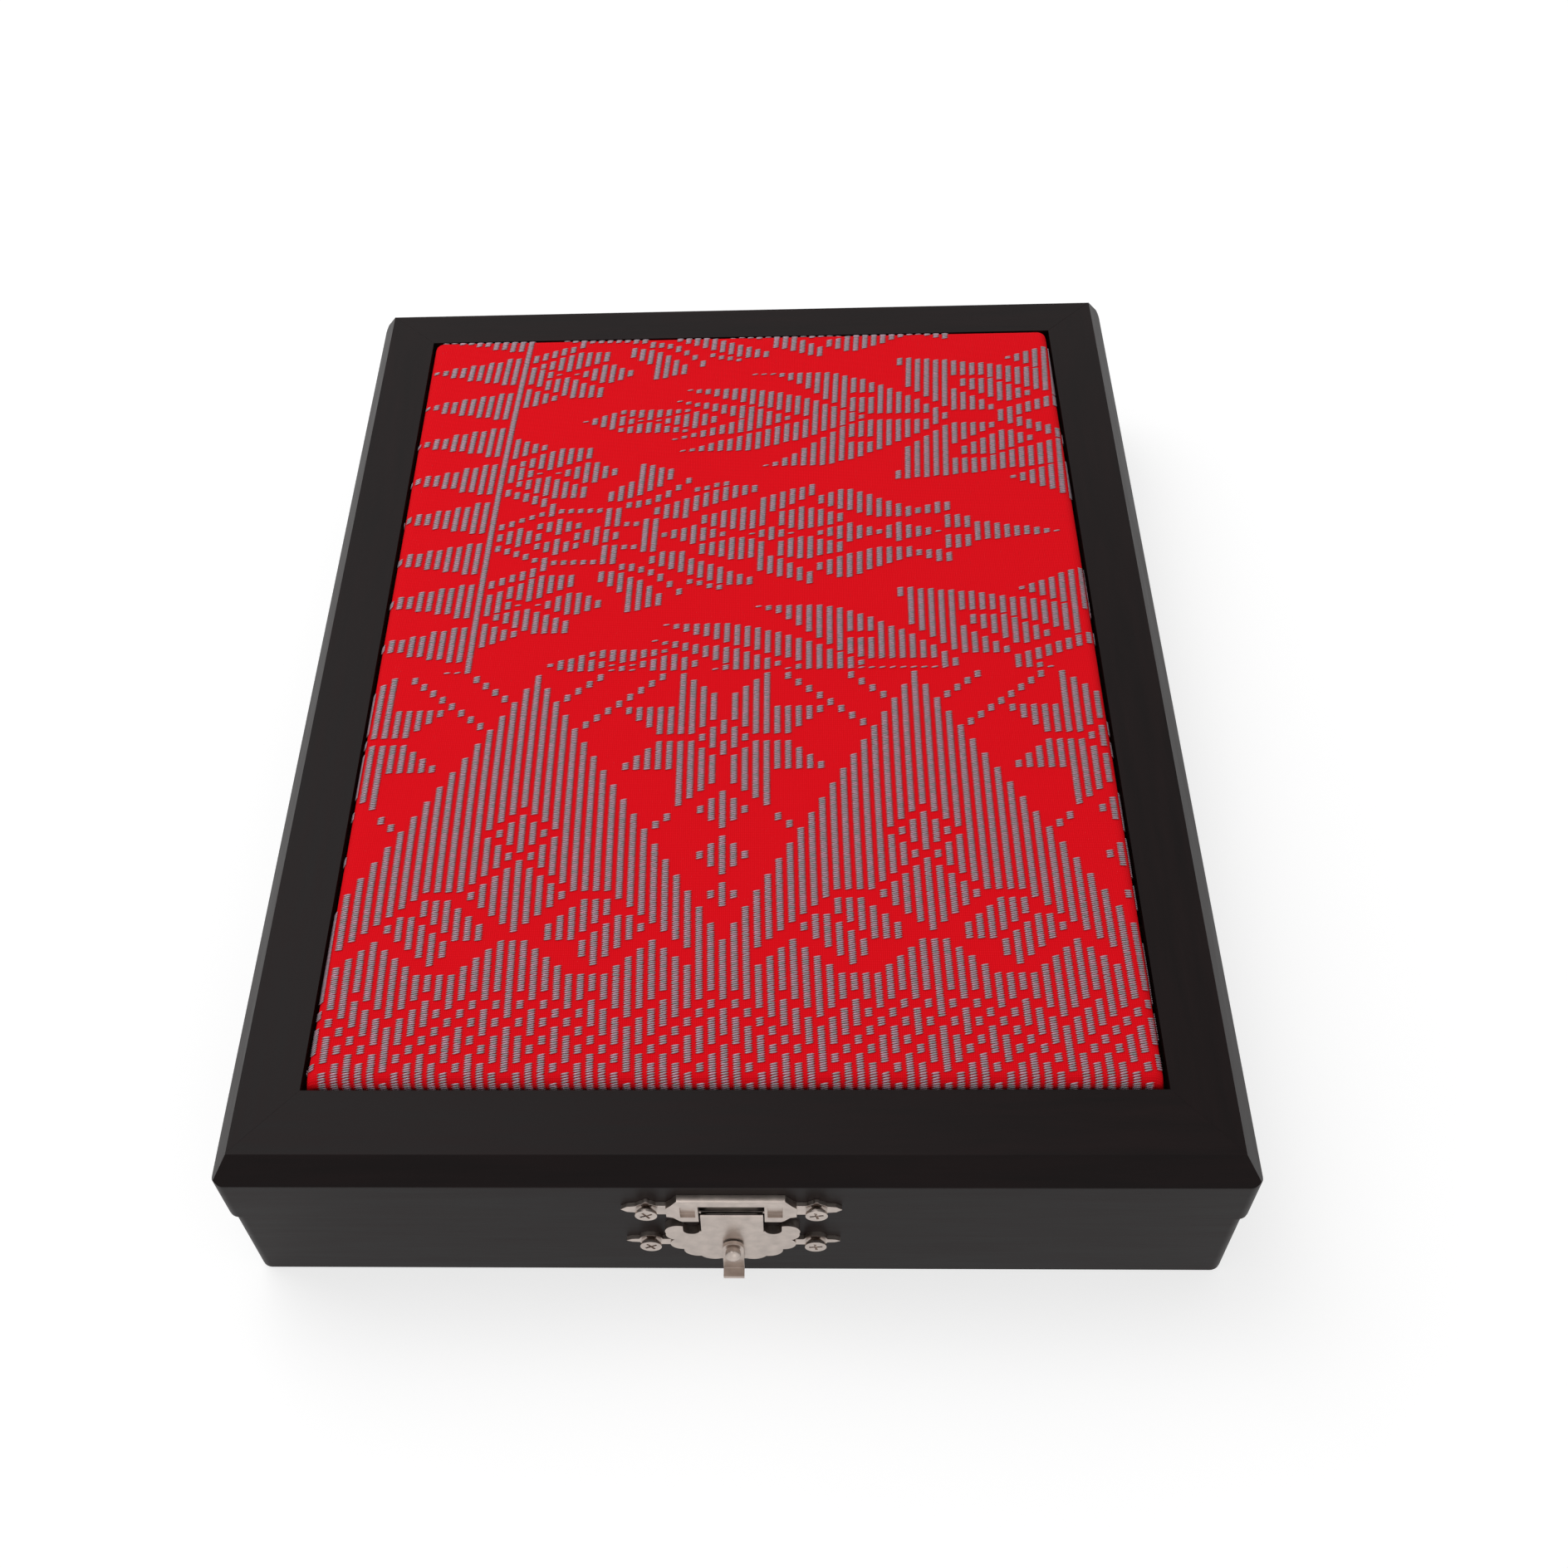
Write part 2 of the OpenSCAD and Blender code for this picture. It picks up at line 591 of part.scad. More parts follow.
// A plate screw with its axis on the origin, its face towards -Y and the wood's face at y = 0
head_t = 0.5;
shank_tip = 2;
module plate_screw() rotate([90, 0, 0]) difference() {
    union() {
        translate([0, 0, head_out - head_t]) cylinder(h = head_t, r = head_r);
        translate([0, 0, head_out - head_t - 1.3]) cylinder(h = 1.3 + eps, r1 = shank_r, r2 = head_r);
        translate([0, 0, shank_tip - shank_len])
            cylinder(h = shank_len - shank_tip + head_out - head_t - 1.3 + eps, r = shank_r);
        translate([0, 0, -shank_len]) cylinder(h = shank_tip + eps, r1 = 0.15, r2 = shank_r);
    }
    for (a = [0, 90]) rotate([0, 0, a + 20]) translate([-1.35, -0.25, head_out - 0.4])
        cube([2.7, 0.5, 0.4 + over]);
    translate([0, 0, head_out - 0.6]) cylinder(h = 0.6 + over, r1 = 0.15, r2 = 0.55);
}

// Lobed outline of the cover plate, with heights from the seam
lobes = [[3.9, -13.6, 3], [7, -12.2, 2.9], [10, -9.3, 2.5], [10.7, -3.6, 2.6], [10.6, -5, 2.6]];
notch_x = 8.05;
notch_r = 1.65;
notch_z = -3.05;
module cover_outline() difference() {
    union() {
        translate([-tongue_half, -8]) square([2 * tongue_half, 8 + tongue_top - 0.4]);
        for (side = [-1, 1]) {
            polygon([[0, -16.3], [side * 4.2, -16.3], [side * 8.6, -13.6], [side * 11.2, -9.6],
                     [side * 12, -5.6], [side * 9, -3.4], [0, -3.4]]);
            for (c = lobes) translate([side * c[0], c[1]]) circle(c[2]);
        }
    }
    for (side = [-1, 1]) translate([side * notch_x, 0]) {
        translate([0, notch_z]) circle(notch_r);
        translate([-notch_r, notch_z]) square([2 * notch_r, 4]);
    }
}

module catch_cover_plate() color(nickel) difference() {
    union() {
        upright(-base_y, seam_z, cover_t) cover_outline();
        bar_x(-base_y - cover_t + 0.4, seam_z + tongue_top - 0.4, 2 * tongue_half, 0.4);
        for (side = [-1, 1]) upright(-base_y, seam_z - cover_ear_z, ear_t)
            translate([side * ear_x, 0]) ear_outline(side, 6, -1.7, 0.7, 0.6, 2.5);
        for (side = [-1, 1]) {
            span([side > 0 ? lug_out - lug_t : -lug_out, -base_y - cover_t + sheet_t - eps,
                  seam_z - pivot_z - 1.5],
                 [side > 0 ? lug_out : -lug_out + lug_t, pivot_y, seam_z - pivot_z + 1.5]);
            translate([side * (lug_out - lug_t / 2), 0, 0])
                bar_x(pivot_y, seam_z - pivot_z, lug_t, 1.5);
        }
    }
    // Hollow behind the sheet, for the lever, and the clear back of the tongue
    difference() {
        span([-pocket_half, -base_y - cover_t + sheet_t, seam_z - pocket_low],
             [pocket_half, -base_y + eps, seam_z + tongue_top + over]);
        for (side = [-1, 1]) translate([side * (lug_out - lug_t / 2), -base_y, seam_z - pivot_z])
            cube([lug_t, 4, 3], center = true);
    }
    bar_x(pivot_y, seam_z - pivot_z, 2 * lug_out + 2, pivot_r + 0.02);
    bore_y(0, seam_z - rivet_z + 0.4, -base_y - cover_t - over, -base_y + over, rivet_hole_r);
    for (side = [-1, 1]) ear_hole(side * ear_x, -base_y, seam_z - cover_ear_z);
}

module catch_cover_screws() color(nickel) for (side = [-1, 1])
    translate([side * ear_x, -base_y, seam_z - cover_ear_z]) rotate([0, side * 12, 0]) plate_screw();

module catch_pivot_pin() color(steel) bar_x(pivot_y, seam_z - pivot_z, 2 * lug_out + 0.2, pivot_r);

// A leaf spring: its foot lies on the pocket's floor, and its free end leans towards the lever
module catch_spring() color(steel) {
    floor_y = -base_y + pocket_d;
    lean = 1.1;
    low = seam_z - pocket_low + 0.2;
    bend = seam_z - pivot_z + 2;
    tip = seam_z - 1;
    translate([-2.5, 0, 0]) rotate([90, 0, 90]) linear_extrude(5)
        polygon([[floor_y, low], [floor_y - spring_t, low], [floor_y - spring_t, bend],
                 [floor_y - spring_t - lean, tip], [floor_y - lean, tip], [floor_y, bend]]);
}

// Outline of the strike plate's raised middle, with heights from the seam
module strike_outline() difference() {
    for (side = [-1, 1])
        polygon([[0, strike_top], [side * 10.4, strike_top], [side * 11.6, strike_top - 1.9],
                 [side * 12.6, 7.6], [side * 12.6, 4], [side * 11.3, 3.6], [side * 10.2, 2.2],
                 [side * 9.6, 1.8], [0, 1.8]]);
    translate([-opening_half, 0]) square([2 * opening_half, strike_top - strike_bar_h]);
}

window_low = 3.7;
window_half = 1.45;
window_x = opening_half + 0.6 + window_half;
module strike_plate() color(nickel) {
    difference() {
        union() {
            upright(-lid_y, seam_z, strike_t) strike_outline();
            for (side = [-1, 1]) upright(-lid_y, seam_z + strike_ear_z, ear_t)
                translate([side * ear_x, 0]) {
                    ear_outline(side, 5, -2.1, 1.6, 1.05, 2.5);
                    translate([0, eye_r]) circle(0.6);
                }
            // Turned-in sides of the opening
            for (side = [-1, 1])
                span([side > 0 ? opening_half : -opening_half - flange_t, -lid_y - strike_t + 0.2,
                      seam_z + keeper_low],
                     [side > 0 ? opening_half + flange_t : -opening_half, keeper_back,
                      seam_z + strike_top - strike_bar_h - 0.2]);
            // Keeper bar that the catch's nose hooks over
            span([-opening_half - eps, keeper_front, seam_z + keeper_low],
                 [opening_half + eps, keeper_back, seam_z + keeper_low + keeper_t]);
        }
        for (side = [-1, 1]) {
            span([side * window_x - window_half, -lid_y - strike_t - over, seam_z + window_low],
                 [side * window_x + window_half, -lid_y - strike_t + 0.8,
                  seam_z + strike_top - strike_bar_h - 0.3]);
            ear_hole(side * ear_x, -lid_y, seam_z + strike_ear_z);
        }
    }
}

module strike_screws() color(nickel) for (side = [-1, 1])
    translate([side * ear_x, -lid_y, seam_z + strike_ear_z]) rotate([0, side * 8, 0]) plate_screw();

// Turns the catch's parts from latched to the rest pose, just clear of the keeper
module catch_pose()
    translate([0, pivot_y, seam_z - pivot_z]) rotate([-latch_turn, 0, 0])
        translate([0, -pivot_y, -seam_z + pivot_z]) children();

module catch_lever() color(steel) catch_pose() difference() {
    union() {
        span([-lever_half, lever_front, seam_z - lever_low],
             [lever_half, lever_front + sheet_t, seam_z + keeper_low + keeper_t + lever_lift + 0.8]);
        span([-lever_half, nose_front, seam_z + keeper_low + keeper_t + lever_lift],
             [lever_half, lever_front + eps, seam_z + keeper_low + keeper_t + lever_lift + 0.8]);
        bar_x(pivot_y, seam_z - pivot_z, 2 * lever_half, lever_eye_r);
    }
    bar_x(pivot_y, seam_z - pivot_z, 2 * lever_half + 2, pivot_r + pin_play);
    bore_y(0, seam_z - rivet_z, lever_front - over, lever_front + 3, rivet_r + 0.02);
}

module catch_thumb_tab() color(nickel) catch_pose() difference() {
    union() {
        upright(tab_back, seam_z, sheet_t) {
            translate([0, -rivet_z]) circle(tab_w / 2);
            translate([-tab_w / 2, -tab_z]) square([tab_w, tab_z - rivet_z]);
        }
        span([-tab_w / 2, tab_back - sheet_t - lip_out, seam_z - tab_z],
             [tab_w / 2, tab_back - eps, seam_z - tab_z + sheet_t]);
    }
    bore_y(0, seam_z - rivet_z, tab_back - sheet_t - over, tab_back + over, rivet_r + 0.02);
}

module catch_ball_rivet() color(nickel) catch_pose() {
    z = seam_z - rivet_z;
    seat = tab_back - sheet_t;
    intersection() {
        translate([0, seat - ball_r * 0.6, z]) sphere(ball_r);
        translate([-5, seat - 10, z - 5]) cube([10, 10, 10]);
    }
    bore_y(0, z, seat - eps, lever_front + sheet_t + eps, rivet_r);
    bore_y(0, z, lever_front + sheet_t, lever_front + sheet_t + 0.5, 1.2);
}

base_front_wall();
base_back_wall();
base_left_wall();
base_right_wall();
base_bottom_board();
base_floor_lining();
base_front_lining();
base_back_lining();
base_left_lining();
base_right_lining();
catch_cover_plate();
catch_cover_screws();
catch_pivot_pin();
catch_spring();
hinge_left_base_leaf();
hinge_right_base_leaf();
hinge_pins();
hinge_base_screws();
lid_front_wall();
lid_back_wall();
lid_left_wall();
lid_right_wall();
frame_front_rail();
frame_back_rail();
frame_left_rail();
frame_right_rail();
lid_backing_board();
lid_lining();
pad_board();
pad_foam();
songket_cover();
strike_plate();
strike_screws();
hinge_left_lid_leaf();
hinge_right_lid_leaf();
hinge_lid_screws();
catch_lever();
catch_thumb_tab();
catch_ball_rivet();
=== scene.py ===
import json
import math

import bmesh
import bpy
from bpy.props import FloatProperty, FloatVectorProperty, IntProperty, PointerProperty
from mathutils import Matrix, Vector

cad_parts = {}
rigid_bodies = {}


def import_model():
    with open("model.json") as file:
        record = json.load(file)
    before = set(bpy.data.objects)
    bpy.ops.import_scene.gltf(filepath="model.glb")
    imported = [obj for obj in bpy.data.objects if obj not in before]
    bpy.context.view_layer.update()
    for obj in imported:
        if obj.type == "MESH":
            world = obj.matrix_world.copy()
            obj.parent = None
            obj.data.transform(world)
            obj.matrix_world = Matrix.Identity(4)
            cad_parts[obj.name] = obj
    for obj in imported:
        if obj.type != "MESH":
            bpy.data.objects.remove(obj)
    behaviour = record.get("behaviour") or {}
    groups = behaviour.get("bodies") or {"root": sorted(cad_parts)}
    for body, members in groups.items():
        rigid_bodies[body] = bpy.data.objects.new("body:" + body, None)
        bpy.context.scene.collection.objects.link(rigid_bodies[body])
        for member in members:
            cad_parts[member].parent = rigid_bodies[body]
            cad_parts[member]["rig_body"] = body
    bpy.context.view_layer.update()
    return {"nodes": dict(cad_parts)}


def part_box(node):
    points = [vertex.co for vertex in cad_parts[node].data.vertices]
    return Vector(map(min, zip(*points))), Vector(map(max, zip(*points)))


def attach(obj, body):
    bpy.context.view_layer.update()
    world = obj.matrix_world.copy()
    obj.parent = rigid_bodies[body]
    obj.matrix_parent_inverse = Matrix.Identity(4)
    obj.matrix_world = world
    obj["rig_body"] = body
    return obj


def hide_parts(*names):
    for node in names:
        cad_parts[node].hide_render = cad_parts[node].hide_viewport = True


bl_info = {
    "name": "Keepsake Box",
    "version": (1, 0, 0),
    "blender": (4, 5, 0),
    "location": "View3D > Sidebar > Keepsake Box",
    "description": "Dresses a hinged lacquered box with a woven panel in its lid",
    "category": "Object",
}

# The CAD model is loaded at once, so that sizes can come from it
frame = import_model()
MM = 0.001
MERGE_DISTANCE = 2e-6
FLAT_ANGLE = math.radians(0.8)
SHARP_ANGLE = math.radians(28)
WEAVE_PITCH = 0.42 * MM

WOOD_ACROSS = ("base_front_wall", "base_back_wall", "lid_front_wall", "lid_back_wall",
               "frame_front_rail", "frame_back_rail")
WOOD_ALONG = ("base_left_wall", "base_right_wall", "lid_left_wall", "lid_right_wall",
              "frame_left_rail", "frame_right_rail")
BOARDS = ("base_bottom_board", "lid_backing_board", "pad_board")
LINING_CARRIERS = {
    "base_floor_lining": ("base_bottom_board", "laid"),
    "base_front_lining": ("base_front_wall", "stretched"),
    "base_back_lining": ("base_back_wall", "stretched"),
    "base_left_lining": ("base_left_wall", "stretched"),
    "base_right_lining": ("base_right_wall", "stretched"),
    "lid_lining": ("lid_backing_board", "stretched"),
}
PLATES = ("catch_cover_plate", "strike_plate", "catch_thumb_tab", "catch_ball_rivet")
SCREWS = ("catch_cover_screws", "strike_screws", "hinge_base_screws", "hinge_lid_screws")
LEAVES = ("hinge_left_base_leaf", "hinge_right_base_leaf",
          "hinge_left_lid_leaf", "hinge_right_lid_leaf")
STEEL_PARTS = ("hinge_pins", "catch_pivot_pin", "catch_spring", "catch_lever")


def colour_property(label, text, default):
    return FloatVectorProperty(name=label, description=text, default=default,
                               subtype="COLOR", size=3, min=0, max=1)


class CaseSettings(bpy.types.PropertyGroup):
    """Finish of the wooden case"""

    lacquer: colour_property("Lacquer", "Colour of the lacquered wood", (0.00553, 0.0025, 0.0025))
    edge_ease: FloatProperty(name="Edge ease", description="Width of the eased wooden edges",
                             default=0.22 * MM, unit="LENGTH")
    velvet: colour_property("Velvet", "Colour of the linings", (0.13, 0.004, 0.012))


class MetalSettings(bpy.types.PropertyGroup):
    """Finish of the catch and the hinges"""

    nickel: colour_property("Nickel", "Colour of the plated parts", (0.504, 0.434, 0.392))
    steel: colour_property("Steel", "Colour of pins and springs", (0.42, 0.41, 0.4))
    plate_ease: FloatProperty(name="Plate ease", description="Width of a stamped plate's round edge",
                              default=0.22 * MM, unit="LENGTH")


class PanelSettings(bpy.types.PropertyGroup):
    """Cloth and threads of the woven panel"""

    ground: colour_property("Ground", "Colour of the plain cloth", (0.93, 0.00312, 0.00926))
    thread: colour_property("Thread", "Colour of the metal threads", (0.336, 0.258, 0.296))
    edge_round: FloatProperty(name="Edge round", description="Radius of the turned edge",
                              default=2.6 * MM, unit="LENGTH")
    crown: FloatProperty(name="Crown", description="Height of the padded middle over the edge",
                         default=0.6 * MM, unit="LENGTH")
    hem: FloatProperty(name="Hem", description="Width of cloth turned in under the board",
                       default=12 * MM, unit="LENGTH")
    column_pitch: FloatProperty(name="Column pitch", description="Distance between thread columns",
                                default=2.3875 * MM, unit="LENGTH")
    thread_length: FloatProperty(name="Thread length", description="Length of one short float",
                                 default=1.92 * MM, unit="LENGTH")
    thread_width: FloatProperty(name="Thread width", description="Width of one short float",
                                default=0.45 * MM, unit="LENGTH")
    thread_height: FloatProperty(name="Thread height", description="Height of one short float",
                                 default=0.34 * MM, unit="LENGTH")
    slant: FloatProperty(name="Slant", description="Turn of the floats against the weft",
                         default=math.radians(13), subtype="ANGLE")
    seed: IntProperty(name="Seed", description="Seed of the small irregularities", default=7)


class StageSettings(bpy.types.PropertyGroup):
    """Floor, light and camera"""

    key_power: FloatProperty(name="Key light", description="Power of the large soft light", default=6.5)
    fill_power: FloatProperty(name="Fill light", description="Power of the front light", default=0.5)
    sky: FloatProperty(name="Sky", description="Strength of the even light all round", default=0.46)


# Materials


def new_material(name):
    material = bpy.data.materials.new(name)
    material.use_nodes = True
    return material, material.node_tree, material.node_tree.nodes["Principled BSDF"]


def add_node(tree, kind, **values):
    node = tree.nodes.new(kind)
    for key, value in values.items():
        if key in node.inputs:
            node.inputs[key].default_value = value
        else:
            setattr(node, key, value)
    return node


def object_mapping(tree, scale):
    coords = add_node(tree, "ShaderNodeTexCoord")
    mapping = add_node(tree, "ShaderNodeMapping")
    mapping.inputs["Scale"].default_value = scale
    tree.links.new(coords.outputs["Object"], mapping.inputs["Vector"])
    return mapping


def ramp_between(tree, source, low, high, start=0.3, end=0.7):
    ramp = add_node(tree, "ShaderNodeValToRGB")
    ramp.color_ramp.elements[0].position = start
    ramp.color_ramp.elements[1].position = end
    ramp.color_ramp.elements[0].color = (*low, 1)
    ramp.color_ramp.elements[1].color = (*high, 1)
    tree.links.new(source, ramp.inputs["Fac"])
    return ramp


def add_bump(tree, shader, source, strength, distance):
    bump = add_node(tree, "ShaderNodeBump", Strength=strength, Distance=distance)
    tree.links.new(source, bump.inputs["Height"])
    tree.links.new(bump.outputs["Normal"], shader.inputs["Normal"])


def shade(tone, factor):
    return tuple(min(1.0, c * factor) for c in tone)


def lacquer_material(name, tone, grain_scale):
    material, tree, shader = new_material(name)
    grain = add_node(tree, "ShaderNodeTexNoise", Scale=1.0, Detail=6.0, Roughness=0.6)
    tree.links.new(object_mapping(tree, grain_scale).outputs["Vector"], grain.inputs["Vector"])
    ramp = ramp_between(tree, grain.outputs["Fac"], shade(tone, 0.7), shade(tone, 1.45))
    tree.links.new(ramp.outputs["Color"], shader.inputs["Base Color"])
    gloss = add_node(tree, "ShaderNodeMapRange")
    gloss.inputs["To Min"].default_value = 0.36
    gloss.inputs["To Max"].default_value = 0.5
    tree.links.new(grain.outputs["Fac"], gloss.inputs["Value"])
    tree.links.new(gloss.outputs["Result"], shader.inputs["Roughness"])
    shader.inputs["Specular IOR Level"].default_value = 0.1
    add_bump(tree, shader, grain.outputs["Fac"], 0.12, 0.0002)
    return material


def board_material():
    material, tree, shader = new_material("sanded_plywood")
    grain = add_node(tree, "ShaderNodeTexNoise", Scale=1.0, Detail=8.0)
    tree.links.new(object_mapping(tree, (25, 420, 420)).outputs["Vector"], grain.inputs["Vector"])
    ramp = ramp_between(tree, grain.outputs["Fac"], (0.34, 0.19, 0.085), (0.56, 0.36, 0.18))
    tree.links.new(ramp.outputs["Color"], shader.inputs["Base Color"])
    shader.inputs["Roughness"].default_value = 0.75
    add_bump(tree, shader, grain.outputs["Fac"], 0.2, 0.0003)
    return material


def velvet_material(tone):
    material, tree, shader = new_material("wine_velvet")
    pile = add_node(tree, "ShaderNodeTexNoise", Scale=1.0, Detail=4.0)
    tree.links.new(object_mapping(tree, (1600, 1600, 1600)).outputs["Vector"], pile.inputs["Vector"])
    nap = add_node(tree, "ShaderNodeTexNoise", Scale=1.0, Detail=2.0)
    tree.links.new(object_mapping(tree, (22, 30, 30)).outputs["Vector"], nap.inputs["Vector"])
    ramp = ramp_between(tree, nap.outputs["Fac"], shade(tone, 0.7), shade(tone, 1.3))
    tree.links.new(ramp.outputs["Color"], shader.inputs["Base Color"])
    shader.inputs["Roughness"].default_value = 0.92
    shader.inputs["Sheen Weight"].default_value = 0.5
    shader.inputs["Sheen Roughness"].default_value = 0.4
    shader.inputs["Sheen Tint"].default_value = (0.8, 0.25, 0.3, 1)
    add_bump(tree, shader, pile.outputs["Fac"], 0.5, 0.0004)
    return material


def cloth_material(tone):
    """Plain weave: warp and weft of a third of a millimetre, with a painted highlight on the raised
    crossings and painted shade between them
    """
    material, tree, shader = new_material("songket_ground")
    mapping = object_mapping(tree, (1, 1, 1))
    # At scale 1 the bands of a Wave texture are 2 pi / 20 apart
    weave_scale = 2 * math.pi / (20 * WEAVE_PITCH)
    waves = []
    for direction in ("X", "Y"):
        wave = add_node(tree, "ShaderNodeTexWave", Scale=weave_scale, Distortion=0.0)
        wave.bands_direction = direction
        tree.links.new(mapping.outputs["Vector"], wave.inputs["Vector"])
        waves.append(wave)
    crossing = add_node(tree, "ShaderNodeMath", operation="MULTIPLY")
    for index, wave in enumerate(waves):
        tree.links.new(wave.outputs["Fac"], crossing.inputs[index])
    # Painted highlight: the raised crossings get a lighter, more orange red, and the hollows between them a
    # darker red as painted shade
    painted_crest_highlight = (min(1, tone[0] * 1.1), tone[1] * 2.6, tone[2] * 2.2)
    ramp = ramp_between(tree, crossing.outputs["Value"], shade(tone, 0.86), painted_crest_highlight, 0.1, 0.9)
    tree.links.new(ramp.outputs["Color"], shader.inputs["Base Color"])
    shader.inputs["Roughness"].default_value = 0.8
    shader.inputs["Specular IOR Level"].default_value = 0.06
    add_bump(tree, shader, crossing.outputs["Value"], 0.6, 0.0001)
    return material


def thread_material(tone):
    """Metal thread that glints a little green and a little pink"""
    material, tree, shader = new_material("songket_thread")
    glint = add_node(tree, "ShaderNodeTexNoise", Scale=1.0, Detail=3.0)
    tree.links.new(object_mapping(tree, (700, 1500, 700)).outputs["Vector"], glint.inputs["Vector"])
    green = (tone[0] * 0.72, tone[1] * 0.95, tone[2] * 0.86)
    pink = (tone[0] * 1.35, tone[1] * 1.02, tone[2] * 1.12)
    ramp = ramp_between(tree, glint.outputs["Fac"], green, pink, 0.35, 0.65)
    tree.links.new(ramp.outputs["Color"], shader.inputs["Base Color"])
    shader.inputs["Metallic"].default_value = 0.45
    shader.inputs["Roughness"].default_value = 0.42
    add_bump(tree, shader, glint.outputs["Fac"], 0.25, 0.0001)
    return material


def metal_material(name, tone, roughness):
    material, tree, shader = new_material(name)
    wear = add_node(tree, "ShaderNodeTexNoise", Scale=1.0, Detail=5.0)
    tree.links.new(object_mapping(tree, (420, 420, 420)).outputs["Vector"], wear.inputs["Vector"])
    ramp = ramp_between(tree, wear.outputs["Fac"], shade(tone, 0.86), shade(tone, 1.12))
    tree.links.new(ramp.outputs["Color"], shader.inputs["Base Color"])
    gloss = add_node(tree, "ShaderNodeMapRange")
    gloss.inputs["To Min"].default_value = roughness - 0.06
    gloss.inputs["To Max"].default_value = roughness + 0.08
    tree.links.new(wear.outputs["Fac"], gloss.inputs["Value"])
    tree.links.new(gloss.outputs["Result"], shader.inputs["Roughness"])
    shader.inputs["Metallic"].default_value = 1.0
    add_bump(tree, shader, wear.outputs["Fac"], 0.04, 0.0002)
    return material


def wadding_material():
    material, tree, shader = new_material("white_wadding")
    fibre = add_node(tree, "ShaderNodeTexNoise", Scale=1.0, Detail=6.0)
    tree.links.new(object_mapping(tree, (300, 300, 300)).outputs["Vector"], fibre.inputs["Vector"])
    ramp = ramp_between(tree, fibre.outputs["Fac"], (0.7, 0.67, 0.6), (0.86, 0.84, 0.78))
    tree.links.new(ramp.outputs["Color"], shader.inputs["Base Color"])
    shader.inputs["Roughness"].default_value = 0.95
    add_bump(tree, shader, fibre.outputs["Fac"], 0.6, 0.0008)
    return material


# Meshes


def link_object(name, mesh):
    piece = bpy.data.objects.new(name, mesh)
    bpy.context.scene.collection.objects.link(piece)
    return piece


def body_of_node(node):
    return frame["nodes"][node]["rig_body"]


def dressed_copy(node, name, material, ease, segments=2):
    """A merged copy of a CAD node with eased edges, which stands for it"""
    mesh = bpy.data.meshes.new(name)
    cad = bmesh.new()
    cad.from_mesh(frame["nodes"][node].data)
    bmesh.ops.remove_doubles(cad, verts=cad.verts, dist=MERGE_DISTANCE)
    bmesh.ops.dissolve_limit(cad, angle_limit=FLAT_ANGLE, verts=cad.verts, edges=cad.edges)
    cad.to_mesh(mesh)
    cad.free()
    custom = mesh.attributes.get("custom_normal")
    if custom:
        mesh.attributes.remove(custom)
    mesh.materials.clear()
    mesh.materials.append(material)
    for polygon in mesh.polygons:
        polygon.use_smooth = True
        polygon.material_index = 0
    mesh.set_sharp_from_angle(angle=SHARP_ANGLE)
    piece = link_object(name, mesh)
    bevel = piece.modifiers.new("eased_edges", "BEVEL")
    bevel.width = ease
    bevel.segments = segments
    bevel.limit_method = "ANGLE"
    bevel.angle_limit = SHARP_ANGLE
    bevel.harden_normals = True
    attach(piece, body_of_node(node))
    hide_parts(node)
    return piece


def repaint(node, material):
    """A CAD node that stays gets its finish"""
    shown = frame["nodes"][node]
    if not shown.material_slots:
        shown.data.materials.append(material)
    for holder in shown.material_slots:
        holder.link = "OBJECT"
        holder.material = material


# The woven panel. Places along the columns of floats are in steps of an eighth of a millimetre
# from the opening's back edge, and columns are counted from the left.

STEP = 0.125 * MM
FLOATS_A_ROW = 4
ROW = 16.13
FLOAT_PITCH = ROW / FLOATS_A_ROW
BORDER_ROWS = 55
FIRST_PLACE = -28
ZONE_LINE = 1000
CLOTH_LENGTH = 1840
COLUMNS = 73
REPEAT = 36
BLADE_AXIS = 293
HALF_REPEAT = 342
BACK_EDGE = 116.4 * MM
LEFT_COLUMN = -84 * MM
SIDE_FLOATS = 1.2 * MM
FLOATS_A_PIECE = 5400
UNEVENNESS = math.radians(4)
FACING = "cloth_normal"


def clamp(value):
    return max(0.0, min(1.0, value))


def ease_between(value):
    t = clamp(value)
    return t * t * (3 - 2 * t)


# Gap lines of the front border: how the columns and rows add up, and from which column to which
FALLING_GAPS = ((-41, 1, 7), (-43, 0, 6), (-37, 5, 8), (-37, 10, 14), (-33, 15, 18),
                (-47, 0, 3), (-31, 11, 16), (-27, 15, 18))
RISING_GAPS = ((53, 2, 6), (53, 8, 11), (57, 9, 15), (59, 8, 17), (63, 13, 18))


def border_gap(d, row):
    if any(d - row == c and a <= d <= b for c, a, b in FALLING_GAPS):
        return True
    return any(d + row == c and a <= d <= b for c, a, b in RISING_GAPS)


def star_flower(d, row):
    near = min(row, 18 - row)
    if 1 <= d <= 4 and 4 - d <= near <= min(d + 5, 8):
        return True
    if 5 <= d <= 9 and 5 <= near <= min(8, 14 - d):
        return True
    return d <= 2 and abs(row - 9) <= 2 - d and (d, row) != (0, 9)


def bamboo_shoot(e, row):
    if row < 2 * e:
        return False
    if e <= 4:
        return (abs(row - 22) + e <= 2 or abs(row - 30) + e <= 4 or row < 19 + e
                or 25 - e < row < 25 + e)
    return row <= (max(29, 21 + e) if e < 16 else 41)


def shoot_leaves(d, row):
    upper = 10 <= d <= 15 and max(31, d + 19) <= row <= min(d + 22, 35)
    lower = 7 <= d <= 12 and max(33, d + 24, 41 - d) <= row <= min(d + 27, 49 - d)
    return upper or lower


